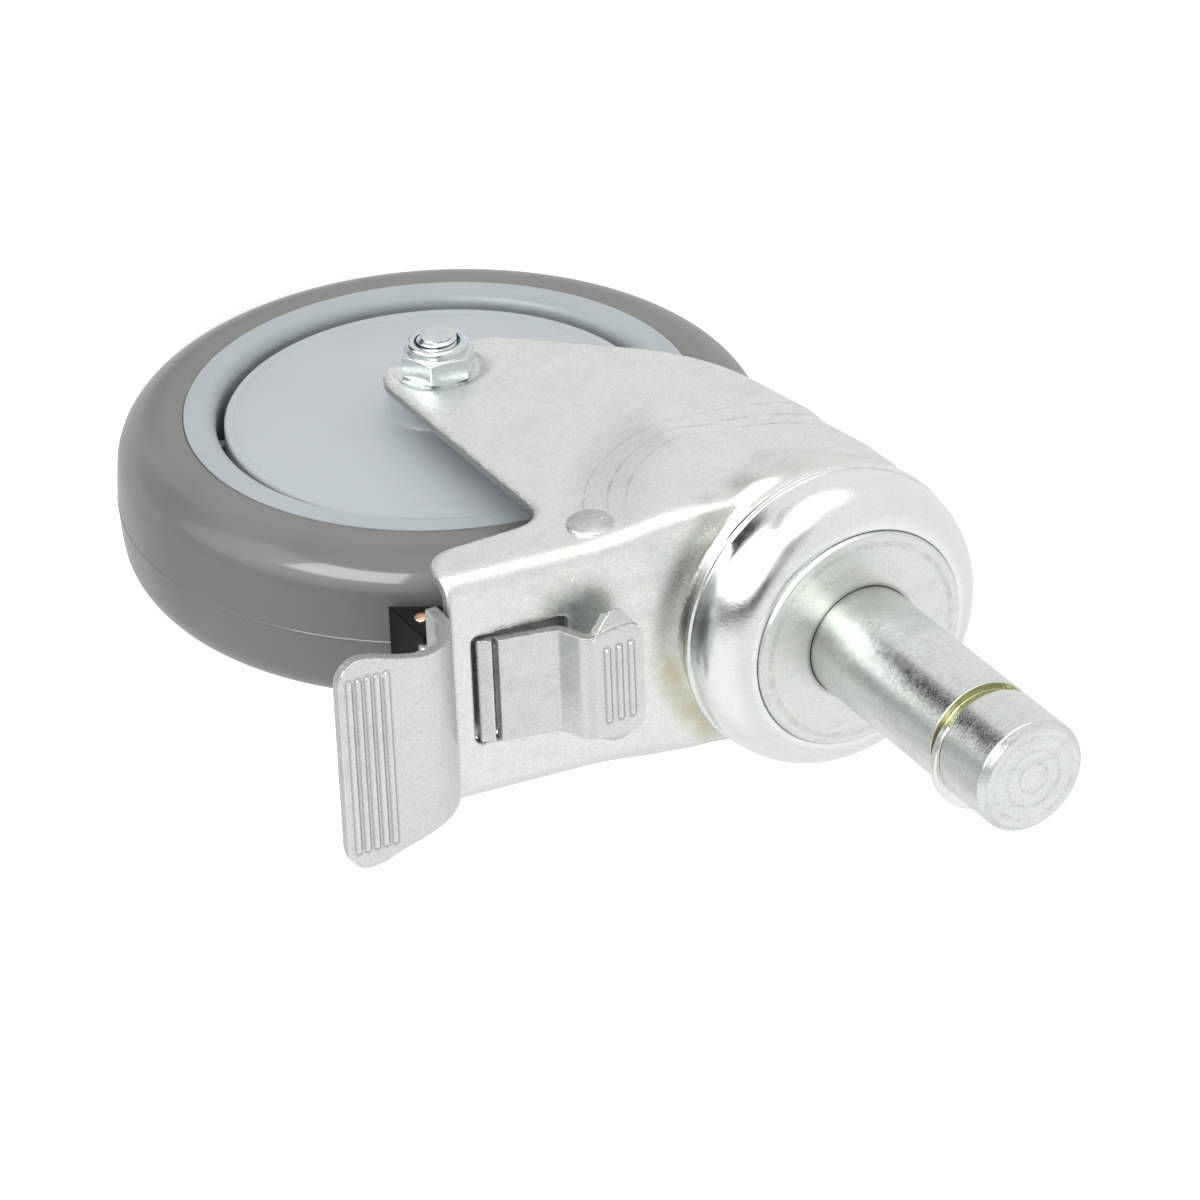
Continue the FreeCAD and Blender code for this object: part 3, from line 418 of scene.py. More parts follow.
def fork_marks_and_reflection(tree, point):
    """Painted dark reflection in the hollow round the neck, die lines in arcs below it, and the ring pressed
    round the axle.
    """
    split = add(tree, "ShaderNodeSeparateXYZ", {0: point})
    x, y, z = [split.outputs[axis] for axis in "XYZ"]
    from_stem = distance_from(tree, point, (0, 0, 0), "Z")
    # painted dark reflection: the hollow where the crown rises to the neck is darkened, more on one side
    neck_dark_reflection = product(tree, band(tree, from_stem, NECK_FOOT_RADIUS - 1.0, 1.6, 3.4),
                     spread(tree, z, -24.0, -22.0), spread(tree, y, 8.0, -10.0, 0.25, 1.0),
                     spread(tree, x, 16.0, 23.0))
    from_neck = distance_from(tree, point, DIE_LINE_CENTRE, "Y")
    lines = highest(tree, *[band(tree, from_neck, *line) for line in DIE_LINES])
    below = spread(tree, z, -28.0, -33.0)
    cheek = spread(tree, maths(tree, "ABSOLUTE", y), 22.5, 23.5)
    from_axle = distance_from(tree, point, AXLE, "Y")
    seat = product(tree, band(tree, from_axle, AXLE_SEAT_RADIUS, 0.15, 0.8), 0.5)
    worn = spread(tree, noise(tree, point, 0.25, 5.0, 0.7), 0.4, 0.65, 0.1, 0.5)
    pressed = product(tree, highest(tree, product(tree, lines, below, cheek), seat), worn)
    return highest(tree, pressed, product(tree, neck_dark_reflection, 0.6))


def neck_stain(tree, point):
    """Yellow of the passivation, pooled where the crown rises to the neck."""
    split = add(tree, "ShaderNodeSeparateXYZ", {0: point})
    from_stem = distance_from(tree, point, (0, 0, 0), "Z")
    near_neck = spread(tree, from_stem, NECK_FOOT_RADIUS + 4.0, NECK_FOOT_RADIUS)
    on_crown = spread(tree, split.outputs["Z"], -24.0, -22.0)
    one_side = spread(tree, split.outputs["Y"], -10.0, 4.0, 0.1, 0.7)
    patchy = spread(tree, noise(tree, point, 0.15, 4.0, 0.6), 0.35, 0.6, 0.3, 1.0)
    return product(tree, near_neck, on_crown, one_side, patchy)


def cap_dark_reflection(tree, point):
    """Speckled darker bands round the cap's shoulder, strongest towards its lower edge: painted dark
    reflection.
    """
    height = add(tree, "ShaderNodeSeparateXYZ", {0: point}).outputs["Z"]
    speckle = noise(tree, point, 0.9, 6.0, 0.8)
    low_edge = spread(tree, height, -9.5, -13.0, 0.05, 0.3)
    return product(tree, spread(tree, speckle, 0.5, 0.62), low_edge)


def parting_lines(tree, point):
    """Rings left by the mould on the guard disc."""
    radius = distance_from(tree, point, AXLE, "Y")
    return product(tree, band(tree, radius, GUARD_RADIUS - 3.2, 0.15, 0.3), 0.6)


def make_materials():
    """The materials, by the name that add_pieces asks for."""
    return {
        "zinc_stem": zinc("zinc_stem", (0.76, 0.80, 0.76), 0.17, 0.5, 0.55, marks=stem_marks_and_painted_light,
                          turned_along="Z", stain=groove_yellow_and_shade, wear=0.0),
        "zinc_bright": zinc("zinc_bright", (0.85, 0.88, 0.865), 0.14, 0.25, 0.3, shade=cap_dark_reflection, wear=0.0),
        "zinc_ring": zinc("zinc_ring", (0.88, 0.90, 0.86), 0.16, 0.3, 0.3),
        "zinc_dull": zinc("zinc_dull", (0.75, 0.78, 0.74), 0.30, 0.6, 0.6, marks=collar_marks, wear=0.0),
        "zinc_plain": zinc("zinc_plain", (0.50, 0.53, 0.51), 0.30, 0.5, 0.8),
        "zinc_fork": zinc("zinc_fork", (0.82, 0.85, 0.81), 0.26, 0.45, 0.6, marks=fork_marks_and_reflection, cut_edges=True,
                          stain=neck_stain),
        "zinc_fastener": zinc("zinc_fastener", (0.66, 0.71, 0.71), 0.17, 0.3, 0.2),
        "zinc_pedal": zinc("zinc_pedal", (0.70, 0.72, 0.715), 0.28, 0.4, 0.7, cut_edges=True),
        "ball_steel": zinc("ball_steel", (0.72, 0.72, 0.72), 0.12, 0.1, 0.1),
        "spring_steel": zinc("spring_steel", (0.38, 0.38, 0.40), 0.30, 0.3, 0.5),
        "copper_rivet": zinc("copper_rivet", (0.72, 0.42, 0.30), 0.30, 0.2, 0.5,
                             warm=(0.75, 0.50, 0.36), cool=(0.60, 0.34, 0.26)),
        "nylon": plastic("nylon", (0.05, 0.09, 0.14), 0.40, 0.08),
        "tyre_rubber": plastic("tyre_rubber", (0.148, 0.149, 0.141), 0.40, 0.03, 0.15, 0.42,
                               gloss=0.2),
        "core_plastic": plastic("core_plastic", (0.313, 0.346, 0.367), 0.42, 0.015, 0.05),
        "guard_plastic": plastic("guard_plastic", (0.365, 0.397, 0.416), 0.40, 0.015, 0.05,
                                 lines=parting_lines),
        "shoe_plastic": plastic("shoe_plastic", (0.006, 0.006, 0.006), 0.42, 0.1, 0.4, gloss=0.10),
    }


# ---- mesh helpers

def arc(start, middle, end, steps):
    """Points on the circle through three points, from start to end."""
    ax, ay = start
    bx, by = middle
    cx, cy = end
    double_area = 2 * (ax * (by - cy) + bx * (cy - ay) + cx * (ay - by))
    a_squared = ax ** 2 + ay ** 2
    b_squared = bx ** 2 + by ** 2
    c_squared = cx ** 2 + cy ** 2
    centre_x = (a_squared * (by - cy) + b_squared * (cy - ay) + c_squared * (ay - by)) / double_area
    centre_y = (a_squared * (cx - bx) + b_squared * (ax - cx) + c_squared * (bx - ax)) / double_area
    radius = math.hypot(ax - centre_x, ay - centre_y)
    first = math.atan2(ay - centre_y, ax - centre_x)
    to_middle = (math.atan2(by - centre_y, bx - centre_x) - first) % (2 * math.pi)
    sweep = (math.atan2(cy - centre_y, cx - centre_x) - first) % (2 * math.pi)
    if to_middle > sweep:
        sweep -= 2 * math.pi
    angles = [first + sweep * k / steps for k in range(steps + 1)]
    return [(centre_x + radius * math.cos(angle), centre_y + radius * math.sin(angle)) for angle in angles]


def rounded(points, closed=True):
    """Outline with rounded corners: each point is (a, b) or (a, b, corner radius)."""
    count = len(points)
    result = []
    for index, point in enumerate(points):
        corner = Vector(point[:2])
        radius = point[2] if len(point) > 2 else 0.0
        if radius <= 0 or (not closed and index in (0, count - 1)):
            result.append((corner.x, corner.y))
            continue
        before = Vector(points[index - 1][:2]) - corner
        after = Vector(points[(index + 1) % count][:2]) - corner
        half = before.angle(after) / 2
        reach = min(radius / math.tan(half), 0.45 * before.length, 0.45 * after.length)
        before.normalize()
        after.normalize()
        true_radius = reach * math.tan(half)
        centre = corner + (before + after).normalized() * (true_radius / math.sin(half))
        middle = centre + (corner - centre).normalized() * true_radius
        start = corner + before * reach
        end = corner + after * reach
        result.append(tuple(start + before * SUPPORT))
        result.extend(arc(tuple(start), tuple(middle), tuple(end), ARC_STEPS))
        result.append(tuple(end + after * SUPPORT))
    return result


def link(mesh, name, sharp_deg=SHARP_DEG):
    """Object for a mesh, smooth but for edges sharper than the angle."""
    mesh.shade_smooth()
    mesh.set_sharp_from_angle(angle=math.radians(sharp_deg))
    made = bpy.data.objects.new(name, mesh)
    bpy.context.scene.collection.objects.link(made)
    return made


def finished(mesh, name):
    """Object from a filled bmesh, with its faces turned outwards."""
    bmesh.ops.recalc_face_normals(mesh, faces=mesh.faces)
    data = bpy.data.meshes.new(name)
    mesh.to_mesh(data)
    mesh.free()
    return link(data, name)


def turned(name, outline, axis="Z", centre=(0.0, 0.0, 0.0), steps=LATHE_STEPS, closed=True):
    """Solid of revolution. Outline points are (distance from the axis, place along it)."""
    mesh = bmesh.new()
    rings = []
    for radius, along in outline:
        ring = []
        count = 1 if radius < 1e-6 else steps
        for k in range(count):
            angle = 2 * math.pi * k / steps
            across = (radius * math.cos(angle), radius * math.sin(angle))
            if axis == "Z":
                spot = (across[0], across[1], along)
            else:
                spot = (across[0], along, across[1])
            ring.append(mesh.verts.new((Vector(spot) + Vector(centre)) * MM))
        rings.append(ring)
    pairs = list(zip(rings, rings[1:] + rings[:1])) if closed else list(zip(rings, rings[1:]))
    for low, high in pairs:
        for k in range(steps):
            after = k + 1
            quad = [low[k % len(low)], low[after % len(low)], high[after % len(high)], high[k % len(high)]]
            corners = list(dict.fromkeys(quad))
            if len(corners) > 2:
                mesh.faces.new(corners)
    return finished(mesh, name)


def mesh_arrays(data):
    """The mesh's points and its edges' point numbers, as arrays."""
    points = np.zeros(len(data.vertices) * 3)
    data.vertices.foreach_get("co", points)
    edges = np.zeros(len(data.edges) * 2, dtype=np.int64)
    data.edges.foreach_get("vertices", edges)
    return points.reshape(-1, 3), edges.reshape(-1, 2)


def relaxed(points, edges, passes, weight=None):
    """Moves each point towards the middle of its neighbours, over several passes."""
    count = len(points)
    degree = np.bincount(edges.ravel(), minlength=count).astype(float)
    share = 0.5 if weight is None else 0.5 * weight[:, None]
    for _ in range(passes):
        total = np.zeros_like(points)
        for axis in range(3):
            total[:, axis] = (np.bincount(edges[:, 0], points[edges[:, 1], axis], count)
                              + np.bincount(edges[:, 1], points[edges[:, 0], axis], count))
        points = points + share * (total / degree[:, None] - points)
    return points


def soft_copy(node, name, voxel, passes, reshape=None):
    """Copy of a CAD node with an even mesh and softened edges. reshape moves its points, in mm."""
    data = frame["nodes"][node].data.copy()
    source = bpy.data.objects.new(name + "_source", data)
    bpy.context.scene.collection.objects.link(source)
    remesh = source.modifiers.new("remesh", "REMESH")
    remesh.mode = "VOXEL"
    remesh.voxel_size = voxel * MM
    remesh.adaptivity = 0.0
    bpy.context.view_layer.update()
    evaluated = source.evaluated_get(bpy.context.evaluated_depsgraph_get())
    result = bpy.data.meshes.new_from_object(evaluated)
    bpy.data.objects.remove(source)
    result.name = name
    result.materials.clear()
    points, edges = mesh_arrays(result)
    points = relaxed(points / MM, edges, passes)
    if reshape:
        points = reshape(points, edges)
    result.vertices.foreach_set("co", (points * MM).ravel())
    result.update()
    return link(result, name, SOFT_SHARP_DEG)


def vertex_normals(data):
    """The normal at each point of the mesh."""
    normals = np.zeros(len(data.vertices) * 3)
    data.vertices.foreach_get("normal", normals)
    return normals.reshape(-1, 3)


def store(obj, name, values):
    """Keeps one value per point on the mesh, for its material to read."""
    attribute = obj.data.attributes.new(name, "FLOAT", "POINT")
    attribute.data.foreach_set("value", values.astype(np.float32))


def ramp(values, low, high):
    """Smooth step from 0 at low to 1 at high; low may be the larger."""
    t = np.clip((values - low) / (high - low), 0, 1)
    return t * t * (3 - 2 * t)


def dress(obj, material, slot_name, body, *nodes):
    """Gives the piece its material, and lets it stand for the nodes on their body."""
    obj.data.materials.clear()
    obj.data.materials.append(material)
    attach(obj, body)
    if nodes:
        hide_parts(*nodes)


# ---- stem and swivel head

def stem_turned():
    """Stem with fine rings turned into its end, the ring's groove, its spigot and riveted end."""
    ring_depth = 0.035
    dish = STEM_TOP - 0.05
    chamfer = 1.3
    outline = [
        (0.0, dish), (2.6, dish + 0.01), (2.75, dish - ring_depth), (3.05, dish - ring_depth),
        (3.2, STEM_TOP), (5.4, STEM_TOP), (5.5, STEM_TOP - ring_depth), (5.7, STEM_TOP - ring_depth),
        (5.8, STEM_TOP),
    ]
    outline += rounded([
        (5.9, STEM_TOP),
        (STEM_RADIUS - chamfer, STEM_TOP, 0.5),
        (STEM_RADIUS, STEM_TOP - chamfer, 0.5),
        (STEM_RADIUS, GROOVE_HIGH, 0.2),
        (GROOVE_RADIUS, GROOVE_HIGH, 0.2),
        (GROOVE_RADIUS, GROOVE_LOW, 0.2),
        (STEM_RADIUS, GROOVE_LOW, 0.2),
        (STEM_RADIUS, 0.0, 0.15),
        (10.9, 0.0), (10.9, COLLAR_STEP_Z), (SPIGOT_RADIUS, COLLAR_STEP_Z), (SPIGOT_RADIUS, -19.3),
        (7.5, -19.3), (7.5, -22.0), (SPIGOT_END_RADIUS, -22.0),
    ], closed=False)
    outline += arc((SPIGOT_END_RADIUS, -22.0), (5.6, -24.1), (0.0, -24.8), 12)[1:]
    return turned("stem_turned", outline, closed=False)


def ring_sprung():
    """Split grip ring, sprung out of its groove towards one side."""
    offset = math.radians(RING_OFFSET_DEG)
    centre = Vector((RING_OFFSET * math.cos(offset), RING_OFFSET * math.sin(offset), 0.0))
    inner = RING_MIDDLE_RADIUS - RING_THICKNESS / 2
    outer = RING_MIDDLE_RADIUS + RING_THICKNESS / 2
    section = rounded([
        (inner, RING_LOW, 0.15), (outer, RING_LOW, 0.35), (outer, RING_HIGH, 0.35), (inner, RING_HIGH, 0.15),
    ])
    start = RING_GAP_MIDDLE_DEG + RING_GAP_DEG / 2 - 360.0
    sweep = 360.0 - RING_GAP_DEG
    steps = 96
    mesh = bmesh.new()
    rings = []
    for k in range(steps + 1):
        angle = math.radians(start + sweep * k / steps)
        out = Vector((math.cos(angle), math.sin(angle), 0.0))
        rings.append([mesh.verts.new((centre + out * r + Vector((0, 0, z))) * MM) for r, z in section])
    for low, high in zip(rings, rings[1:]):
        for k in range(len(section)):
            nxt = (k + 1) % len(section)
            mesh.faces.new([low[k], low[nxt], high[nxt], high[k]])
    mesh.faces.new(rings[0])
    mesh.faces.new(rings[-1])
    return finished(mesh, "ring_sprung")


def collar_washer():
    """Flat washer with rounded edges, stepped to seat on the stem's shoulder."""
    seat = STEM_RADIUS + 0.05
    return turned("collar_washer", rounded([
        (seat, 0.0, 0.15), (COLLAR_RADIUS - 0.3, 0.0, 0.7), (COLLAR_RADIUS, -0.9, 0.4),
        (COLLAR_RADIUS, COLLAR_LOW), (SPIGOT_RADIUS, COLLAR_LOW), (SPIGOT_RADIUS, COLLAR_STEP_Z),
        (seat, COLLAR_STEP_Z),
    ]))


def cap_pressed():
    """Rounded cover with a folded lip, and the ball groove under it."""
    seat = COLLAR_RADIUS + 0.05
    brim = seat + 0.95
    brim_z = -1.0
    lip = CAP_RADIUS + 0.5
    inside = CAP_RADIUS - 1.8
    outline = [(SPIGOT_RADIUS, COLLAR_LOW), (seat, COLLAR_LOW)]
    outline += rounded([(seat, COLLAR_LOW + 0.1), (seat, brim_z, 0.35), (brim, brim_z)], closed=False)[1:]
    outline += arc((brim, brim_z), (inside, -4.6), (CAP_RADIUS, -11.0), 22)[1:]
    outline += rounded([(CAP_RADIUS, -11.2), (CAP_RADIUS, -12.4, 0.3), (lip, -12.7, 0.2),
                        (lip, CAP_EDGE_Z, 0.25), (inside, CAP_EDGE_Z, 0.2), (inside, -10.6)],
                       closed=False)[1:]
    outline += arc((inside, -10.4), (26.7, -8.0), (24.3, CAP_UNDER_Z), 8)
    outline += arc((23.82, CAP_UNDER_Z), (22.5, CAP_UNDER_Z + 0.3), (21.18, CAP_UNDER_Z), 6)
    outline += [(SPIGOT_RADIUS, CAP_UNDER_Z)]
    return turned("cap_pressed", outline)


# ---- wheel

def mirrored(outline):
    """The other side's half of an outline, in order."""
    return [(radius, -along) for radius, along in reversed(outline)]


def tyre_moulded():
    """Soft tyre with a rounded tread and the mould's parting line round its middle."""
    side = TYRE_SIDE_Y
    side_edge = (53.0, side - 0.2)
    tread_edge = (62.9, 8.5)
    foot_y = 5.0
    foot_radius = RIM_RADIUS + 1.5
    lip_radius = RIM_RADIUS + 0.02
    crown = arc(tread_edge, (TYRE_RADIUS, 0.0), (tread_edge[0], -tread_edge[1]), 24)
    near = [spot for spot in crown if spot[1] > 0.6]
    far = [spot for spot in crown if spot[1] < -0.6]
    ridge = [(TYRE_RADIUS, 0.42), (TYRE_RADIUS + 0.01, 0.22), (TYRE_RADIUS + 0.12, 0.1)]
    ridge += mirrored(ridge)
    shoulder = arc(side_edge, (60.0, 13.4), tread_edge, 26)[:-1]
    foot = rounded([(foot_radius, foot_y), (RIM_RADIUS, foot_y), (lip_radius, side - 0.1, 0.5), side_edge],
                   closed=False)[:-1]
    outline = foot + shoulder + near + ridge + far + mirrored(shoulder) + mirrored(foot)
    return turned("tyre_moulded", outline, "Y", AXLE, WHEEL_LATHE_STEPS)


def guard_disc(name, side):
    """Cover disc with a raised edge line and a hub boss."""
    face = GUARD_FACE_Y
    radius = GUARD_RADIUS
    hub_y = 12.6
    hub_radius = 8.3
    inner_face_y = 13.2
    skirt_radius = radius - 1.8
    boss_radius = 10.0
    outline = [(GUARD_BORE_RADIUS, hub_y), (hub_radius, hub_y), (hub_radius, inner_face_y),
               (skirt_radius, inner_face_y), (skirt_radius, GUARD_BACK_Y)]
    outline += rounded([(skirt_radius + 0.1, GUARD_BACK_Y), (radius, GUARD_BACK_Y),
                        (radius, face - 0.05, 0.8), (radius - 1.6, face + 0.02, 0.3),
                        (radius - 2.1, face - 0.22, 0.2), (radius - 2.9, face + 0.02, 0.3)],
                       closed=False)[1:]
    outline += arc((radius - 3.3, face + 0.05), (27.0, face + 0.5), (boss_radius + 1.2, face + 0.78), 14)
    outline += [(boss_radius + 0.6, face + 0.85), (boss_radius + 0.2, face + 1.1), (boss_radius, face + 1.6),
                (boss_radius, SEAT_INNER_Y), (GUARD_BORE_RADIUS, SEAT_INNER_Y)]
    return turned(name, [(r, side * y) for r, y in outline], "Y", AXLE, WHEEL_LATHE_STEPS)


def threaded(points, _edges):
    """Cuts the thread into the bolt's end, and leaves its chamfer."""
    x = points[:, 0] - AXLE.x
    z = points[:, 2] - AXLE.z
    radius = np.maximum(np.hypot(x, z), 1e-6)
    angle = np.arctan2(z, x)
    phase = points[:, 1] / THREAD_PITCH + angle / (2 * math.pi)
    cut = THREAD_DEPTH * (0.5 - 0.5 * np.cos(2 * math.pi * phase))
    near_end = ramp(points[:, 1], -12.0, -14.0)
    cut *= near_end * (radius > THREAD_CORE_RADIUS) * (radius < BOLT_RADIUS + 0.2)
    factor = 1.0 - cut / radius
    points[:, 0] = AXLE.x + x * factor
    points[:, 2] = AXLE.z + z * factor
    return points


# ---- fork and brake

def fork_reshaped(points, edges):
    """Blends the neck into the cheeks as pressed sheet does, and presses a panel round the window."""
    neck_passes = 45
    x, y, z = points.T
    neck = ramp(z, NECK_TOP_Z + 0.1, NECK_BELOW_Z) * ramp(z, -44.0, -38.0) * ramp(x, 36.0, 30.0)
    points = relaxed(points, edges, neck_passes, neck)
    x, y, z = points.T
    flare_middle_z = -20.0
    reach = np.hypot(x, z - flare_middle_z)
    flare = FLARE * ramp(reach, 46.0, 24.0) * ramp(x, 2.0, 14.0) * ramp(np.abs(y), 17.0, 21.0)
    points[:, 1] += np.sign(y) * flare * ramp(z, NECK_TOP_Z, NECK_BELOW_Z)
    x, y, z = points.T
    crown = ramp(np.abs(z - (CROWN_MIDDLE_Z + CROWN_SLOPE * x)), 3.4, 3.0)
    panel = ramp(x, 40.0, 46.0) * ramp(x, 67.5, 66.9) * ramp(np.abs(y), 20.2, 19.4)
    points[:, 2] -= PANEL_PRESS * crown * panel
    return points


def ridge_profile(x, y, places, reach):
    """1 on top of each ridge, and the share of the groove that runs round it."""
    over = np.maximum(np.abs(y) - reach, 0.0)
    from_line = np.min([np.hypot(x - place, over) for place in places], axis=0)
    inside = from_line < (places[1] - places[0]) * 0.75
    return ramp(from_line, 0.6, 0.1), inside * ramp(from_line, 0.4, 0.65) * ramp(from_line, 0.95, 0.7)


def ridged(places, reach, lowest):
    """Reshaping that raises a sheet's ridges to crisp crests between grooves."""
    def reshape(points, _edges):
        x, y, z = points.T
        crest, groove = ridge_profile(x, y, places, reach)
        points[:, 2] += (RIDGE_RISE * crest - RIDGE_GROOVE * groove) * (z > lowest)
        return points
    return reshape


def mark_groove_shade(obj, places, reach, lowest):
    """Stores how deep each point lies in the grooves round the ridges, for the painted shade there."""
    points, _ = mesh_arrays(obj.data)
    x, y, z = points.T / MM
    _, groove = ridge_profile(x, y, places, reach)
    upward = ramp(vertex_normals(obj.data)[:, 2], 0.2, 0.5)
    store(obj, "groove", 0.5 * groove * upward * (z > lowest))


def mark_cut_edges(obj, is_fork):
    """Stores how much each point lies on the sheet's sheared edge, told from where it faces."""
    points, _ = mesh_arrays(obj.data)
    x, y, z = points.T / MM
    face_x, face_y, face_z = vertex_normals(obj.data).T
    if is_fork:
        ends = ramp(np.abs(face_x), 0.45, 0.8)
        undersides = ramp(-face_z, 0.5, 0.8) * ramp(z, -33.0, -35.0)
        in_bell = (np.hypot(x, y) < NECK_FOOT_RADIUS) & (z > -36.5)
        cut = np.where(in_bell, 0.0, np.maximum(ends, undersides))
        in_window = (np.abs(y) < WINDOW_HALF_WIDTH) & (z > -26)
        cut = np.where(in_window, np.maximum(cut, ramp(np.abs(face_y), 0.45, 0.8)), cut)
    else:
        sides = ramp(np.abs(face_y), 0.5, 0.8)
        cut = np.maximum(sides, ramp(-face_x, 0.5, 0.8) * (x < TAB_END_X))
    store(obj, "cut_edge", cut)


def pressed_sheet(node, name, voxel, ridges):
    """Soft copy of a ridged brake part, with its sheared edges and the painted shade of its grooves marked.
    """
    piece = soft_copy(node, name, voxel, 2, ridged(*ridges))
    mark_cut_edges(piece, False)
    mark_groove_shade(piece, *ridges)
    return piece


def add_pieces(paint):
    """Every replacement piece, and the plain materials of the CAD nodes that stay."""
    stem = "stem"
    dress(stem_turned(), paint["zinc_stem"], "zinc_stem", stem, "stem_post")
    dress(ring_sprung(), paint["zinc_ring"], "zinc_bright", stem, "grip_ring")
    dress(collar_washer(), paint["zinc_dull"], "zinc_dull", stem, "stem_collar")
    dress(cap_pressed(), paint["zinc_bright"], "zinc_bright", stem, "top_cap")
    dress(tyre_moulded(), paint["tyre_rubber"], "tyre_rubber", "wheel", "tyre")
    for hand, side in (("left", 1), ("right", -1)):
        dress(guard_disc("guard_disc_" + hand, side), paint["guard_plastic"], "guard_plastic", "fork",
              "thread_guard_" + hand)

    fork = soft_copy("fork", "fork_pressed", 0.62, 2, fork_reshaped)
    mark_cut_edges(fork, True)
    dress(fork, paint["zinc_fork"], "zinc_fork", "fork", "fork")
    dress(soft_copy("axle_bolt", "bolt_threaded", 0.22, 2, threaded), paint["zinc_fastener"],
          "zinc_fastener", "fork", "axle_bolt")
    dress(soft_copy("lock_nut", "nut_locking", 0.14, 1), paint["zinc_fastener"], "zinc_fastener",
          "fork", "lock_nut")
    dress(soft_copy("pivot_rivet", "rivet_domed", 0.25, 2), paint["zinc_plain"], "zinc_dull",
          "fork", "pivot_rivet")

    flap_ridges = (FLAP_RIDGES_X, FLAP_RIDGE_REACH, FLAP_LOW_Z)
    dress(pressed_sheet("brake_pedal", "pedal_pressed", 0.24, flap_ridges), paint["zinc_pedal"],
          "zinc_pedal", "pedal", "brake_pedal")
    tab_ridges = (TAB_RIDGES_X, TAB_RIDGE_REACH, TAB_LOW_Z)
    dress(pressed_sheet("release_tab", "tab_pressed", 0.22, tab_ridges), paint["zinc_pedal"],
          "zinc_pedal", "pedal", "release_tab")
    dress(soft_copy("brake_arm", "arm_pressed", 0.4, 2), paint["zinc_plain"], "zinc_dull",
          "brake_lever", "brake_arm")
    dress(soft_copy("brake_shoe", "shoe_moulded", 0.3, 3), paint["shoe_plastic"], "shoe_plastic",
          "brake_lever", "brake_shoe")
    dress(soft_copy("shoe_pin", "pin_rounded", 0.15, 2), paint["copper_rivet"], "copper_rivet",
          "brake_lever", "shoe_pin")

    for part in RECORD["subparts"]:
        node = frame["nodes"][part["node"]]
        if node.hide_render:
            continue
        slot = part["material_slot"]
        material = paint["zinc_plain" if slot == "zinc_dull" else slot]
        node.data.materials.clear()
        node.data.materials.append(material)


# ---- camera, light and floor

def camera_matrix(place, azimuth_deg, elevation_deg, roll_deg):
    """Camera at the place, looking down from the azimuth's side and rolled about its own axis."""
    a = math.radians(azimuth_deg)
    e = math.radians(elevation_deg)
    roll = math.radians(roll_deg)
    level = Vector((math.cos(a), math.sin(a), 0.0))
    upward = Vector((-math.sin(a) * math.sin(e), math.cos(a) * math.sin(e), math.cos(e)))
    back = Vector((math.sin(a) * math.cos(e), -math.cos(a) * math.cos(e), math.sin(e)))
    right = math.cos(roll) * level + math.sin(roll) * upward
    up = back.cross(right)
    matrix = Matrix((right, up, back)).transposed().to_4x4()
    matrix.translation = Vector(place)
    return matrix


def add_camera():
    """Long lens from above the nut's side, rolled so that the caster lies on its side."""
    data = bpy.data.cameras.new("camera")
    data.lens = CAMERA_LENS
    data.sensor_width = 36.0
    data.clip_start = 0.01
    data.clip_end = 50.0
    camera = bpy.data.objects.new("camera", data)
    camera.matrix_world = camera_matrix(CAMERA_PLACE, CAMERA_AZIMUTH_DEG, CAMERA_ELEVATION_DEG,
                                        CAMERA_ROLL_DEG)
    bpy.context.scene.collection.objects.link(camera)
    bpy.context.scene.camera = camera


def studio_direction(height_deg, turn_deg):
    """Direction in the studio, whose upward side is -Y: height above its level, turn from +X to +Z."""
    height = math.radians(height_deg)
    turn = math.radians(turn_deg)
    return (math.cos(height) * math.cos(turn), -math.sin(height), math.cos(height) * math.sin(turn))


def lobe(tree, direction, height_deg, turn_deg, inner_deg, outer_deg):
    """1 within inner_deg of a studio direction, fading to 0 at outer_deg."""
    dot = add(tree, "ShaderNodeVectorMath", {0: direction, 1: studio_direction(height_deg, turn_deg)},
              operation="DOT_PRODUCT").outputs["Value"]
    return spread(tree, dot, math.cos(math.radians(outer_deg)), math.cos(math.radians(inner_deg)),
                  smooth=True)


def window_mask(tree, height, turn, height_band, turn_band):
    """1 inside a window of the studio, given as (middle, half width, softness) in degrees each way."""
    return product(tree, band(tree, height, *height_band), band(tree, turn, *turn_band))


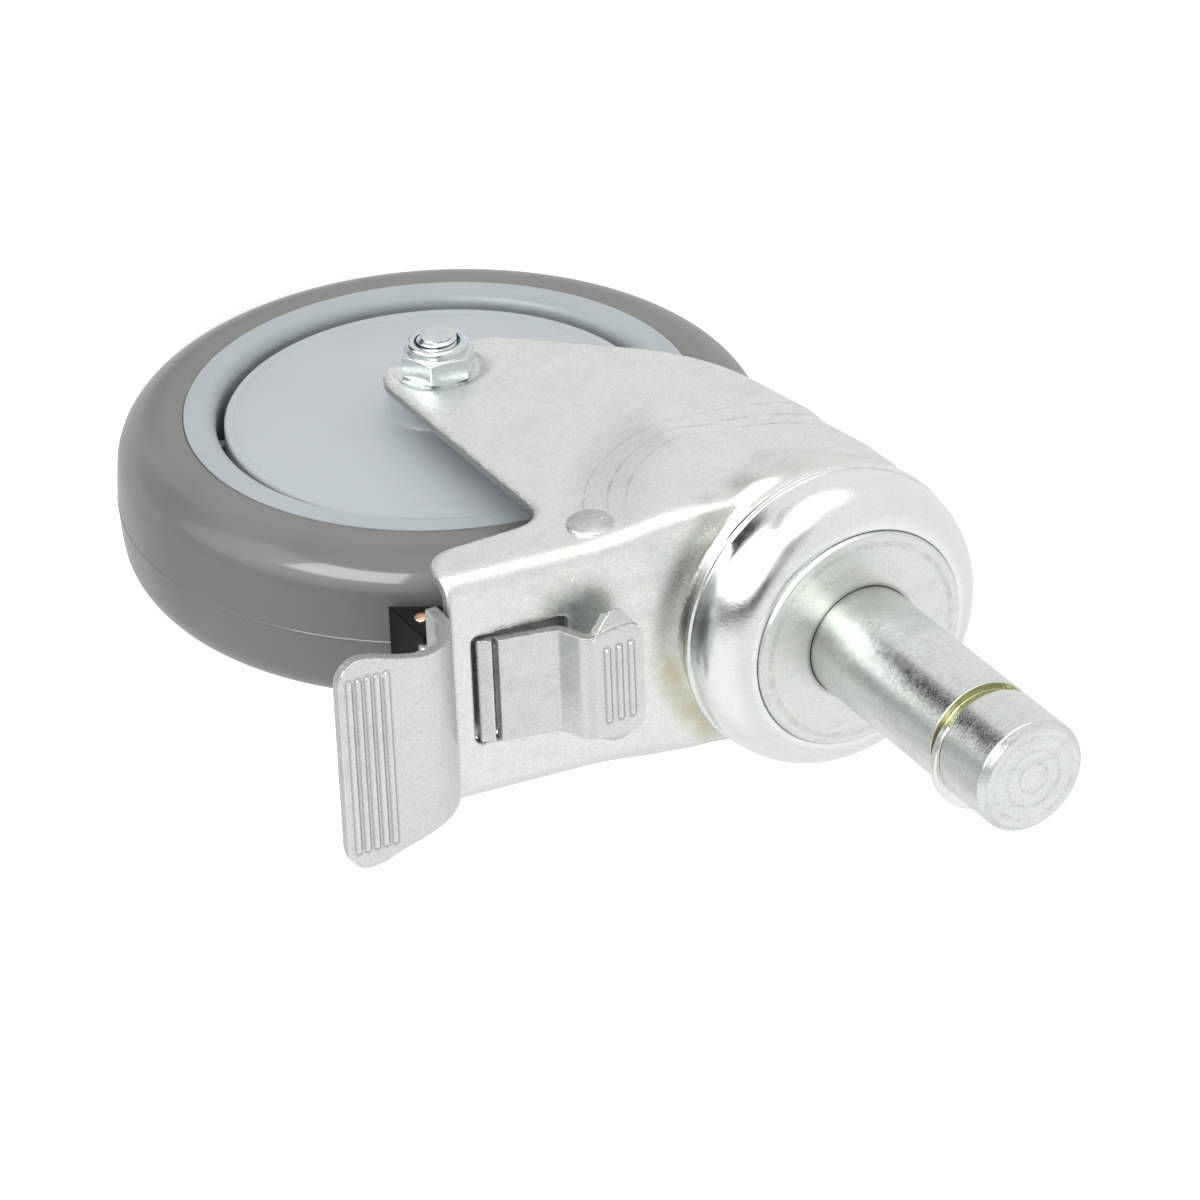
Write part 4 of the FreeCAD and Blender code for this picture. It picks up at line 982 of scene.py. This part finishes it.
def add_world():
    """Pale studio: a wide softbox with a hot middle and a dark frame, a lamp overhead, and pale walls.

    The hot middle is in reflections only, and the camera sees plain white behind the object.
    """
    world = bpy.data.worlds.new("studio")
    world.use_nodes = True
    tree = world.node_tree
    tree.nodes.clear()
    direction = add(tree, "ShaderNodeTexCoord").outputs["Generated"]
    split = add(tree, "ShaderNodeSeparateXYZ", {0: direction})
    height = product(tree, maths(tree, "ARCSINE", split.outputs["Y"]), -math.degrees(1.0))
    turn = product(tree, maths(tree, "ARCTAN2", split.outputs["Z"], split.outputs["X"]), math.degrees(1.0))
    leaning = maths(tree, "SUBTRACT", turn, product(tree, height, 0.45))
    # windows: the turn they are measured in, their height and turn bands, and what they add
    windows = [
        (turn, (37, 20, 4), (5, 47, 6), 1.6),
        (turn, (9, 6, 7), (10, 52, 10), -0.80),
        (leaning, (30, 22, 8), (58, 7, 8), -0.50),
        (turn, (67, 3, 6), (0, 70, 25), -0.35),
    ]
    # lobes: height, turn, inner and outer angle, and what they add
    lobes = [
        (82, 165, 12, 24, 1.3),
        (27, -58, 12, 25, -0.95),
        (9, -46, 3, 9, 0.35),
        (-20, -50, 10, 24, -0.25),
        (18, -103, 5, 14, -0.5),
        (-22, 121, 22, 42, 0.12),
        (-35, 10, 20, 45, 0.15),
    ]
    amount = 0.90
    for across, height_band, turn_band, gain in windows:
        window = window_mask(tree, height, across, height_band, turn_band)
        amount = total(tree, amount, product(tree, window, gain))
    for *place, gain in lobes:
        amount = total(tree, amount, product(tree, lobe(tree, direction, *place), gain))
    amount = maths(tree, "MAXIMUM", amount, 0.03)
    rays = add(tree, "ShaderNodeLightPath")
    hot = product(tree, window_mask(tree, height, turn, (47, 10, 2), (21, 22, 3)), 14.0)
    amount = total(tree, amount, product(tree, hot, rays.outputs["Is Glossy Ray"]))
    amount = add(tree, "ShaderNodeMix", {0: rays.outputs["Is Camera Ray"], 2: amount, 3: 1.0},
                 data_type="FLOAT").outputs[0]
    background = add(tree, "ShaderNodeBackground", {"Color": (1.0, 1.0, 1.0, 1.0), "Strength": amount})
    output = add(tree, "ShaderNodeOutputWorld")
    tree.links.new(background.outputs[0], output.inputs["Surface"])
    bpy.context.scene.world = world


def add_light(name, place, target, size, watts):
    """Round area light at a place, facing the target."""
    data = bpy.data.lights.new(name, "AREA")
    data.shape = "DISK"
    data.size = size
    data.energy = watts
    light = bpy.data.objects.new(name, data)
    light.location = place
    light.rotation_euler = (Vector(target) - Vector(place)).to_track_quat("-Z", "Y").to_euler()
    bpy.context.scene.collection.objects.link(light)
    light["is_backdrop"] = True


def add_floor():
    """Wide pale floor that the wheel stands on."""
    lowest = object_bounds()[0].z
    bpy.ops.mesh.primitive_plane_add(size=12.0, location=(0.0, 0.0, lowest - 0.0002))
    floor = bpy.context.object
    floor.name = "floor"
    material, tree, output = new_material("pale_floor")
    point = add(tree, "ShaderNodeTexCoord").outputs["Object"]
    tone = mixed(tree, noise(tree, point, 1.5), (0.93, 0.93, 0.93), (0.96, 0.96, 0.96))
    diffuse = add(tree, "ShaderNodeBsdfPrincipled",
                  {"Base Color": tone, "Roughness": 0.9, "Specular IOR Level": 0.1,
                   "Emission Color": (1.0, 1.0, 1.0, 1.0), "Emission Strength": 0.47})
    tree.links.new(diffuse.outputs[0], output.inputs["Surface"])
    floor.data.materials.append(material)
    floor.visible_glossy = False
    floor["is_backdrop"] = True


add_pieces(make_materials())
add_camera()
add_world()
add_light("key", (0.25, -0.95, 0.35), (0.03, 0.0, -0.05), 0.6, 1.4)
add_floor()
bpy.context.scene.view_settings.view_transform = "Standard"
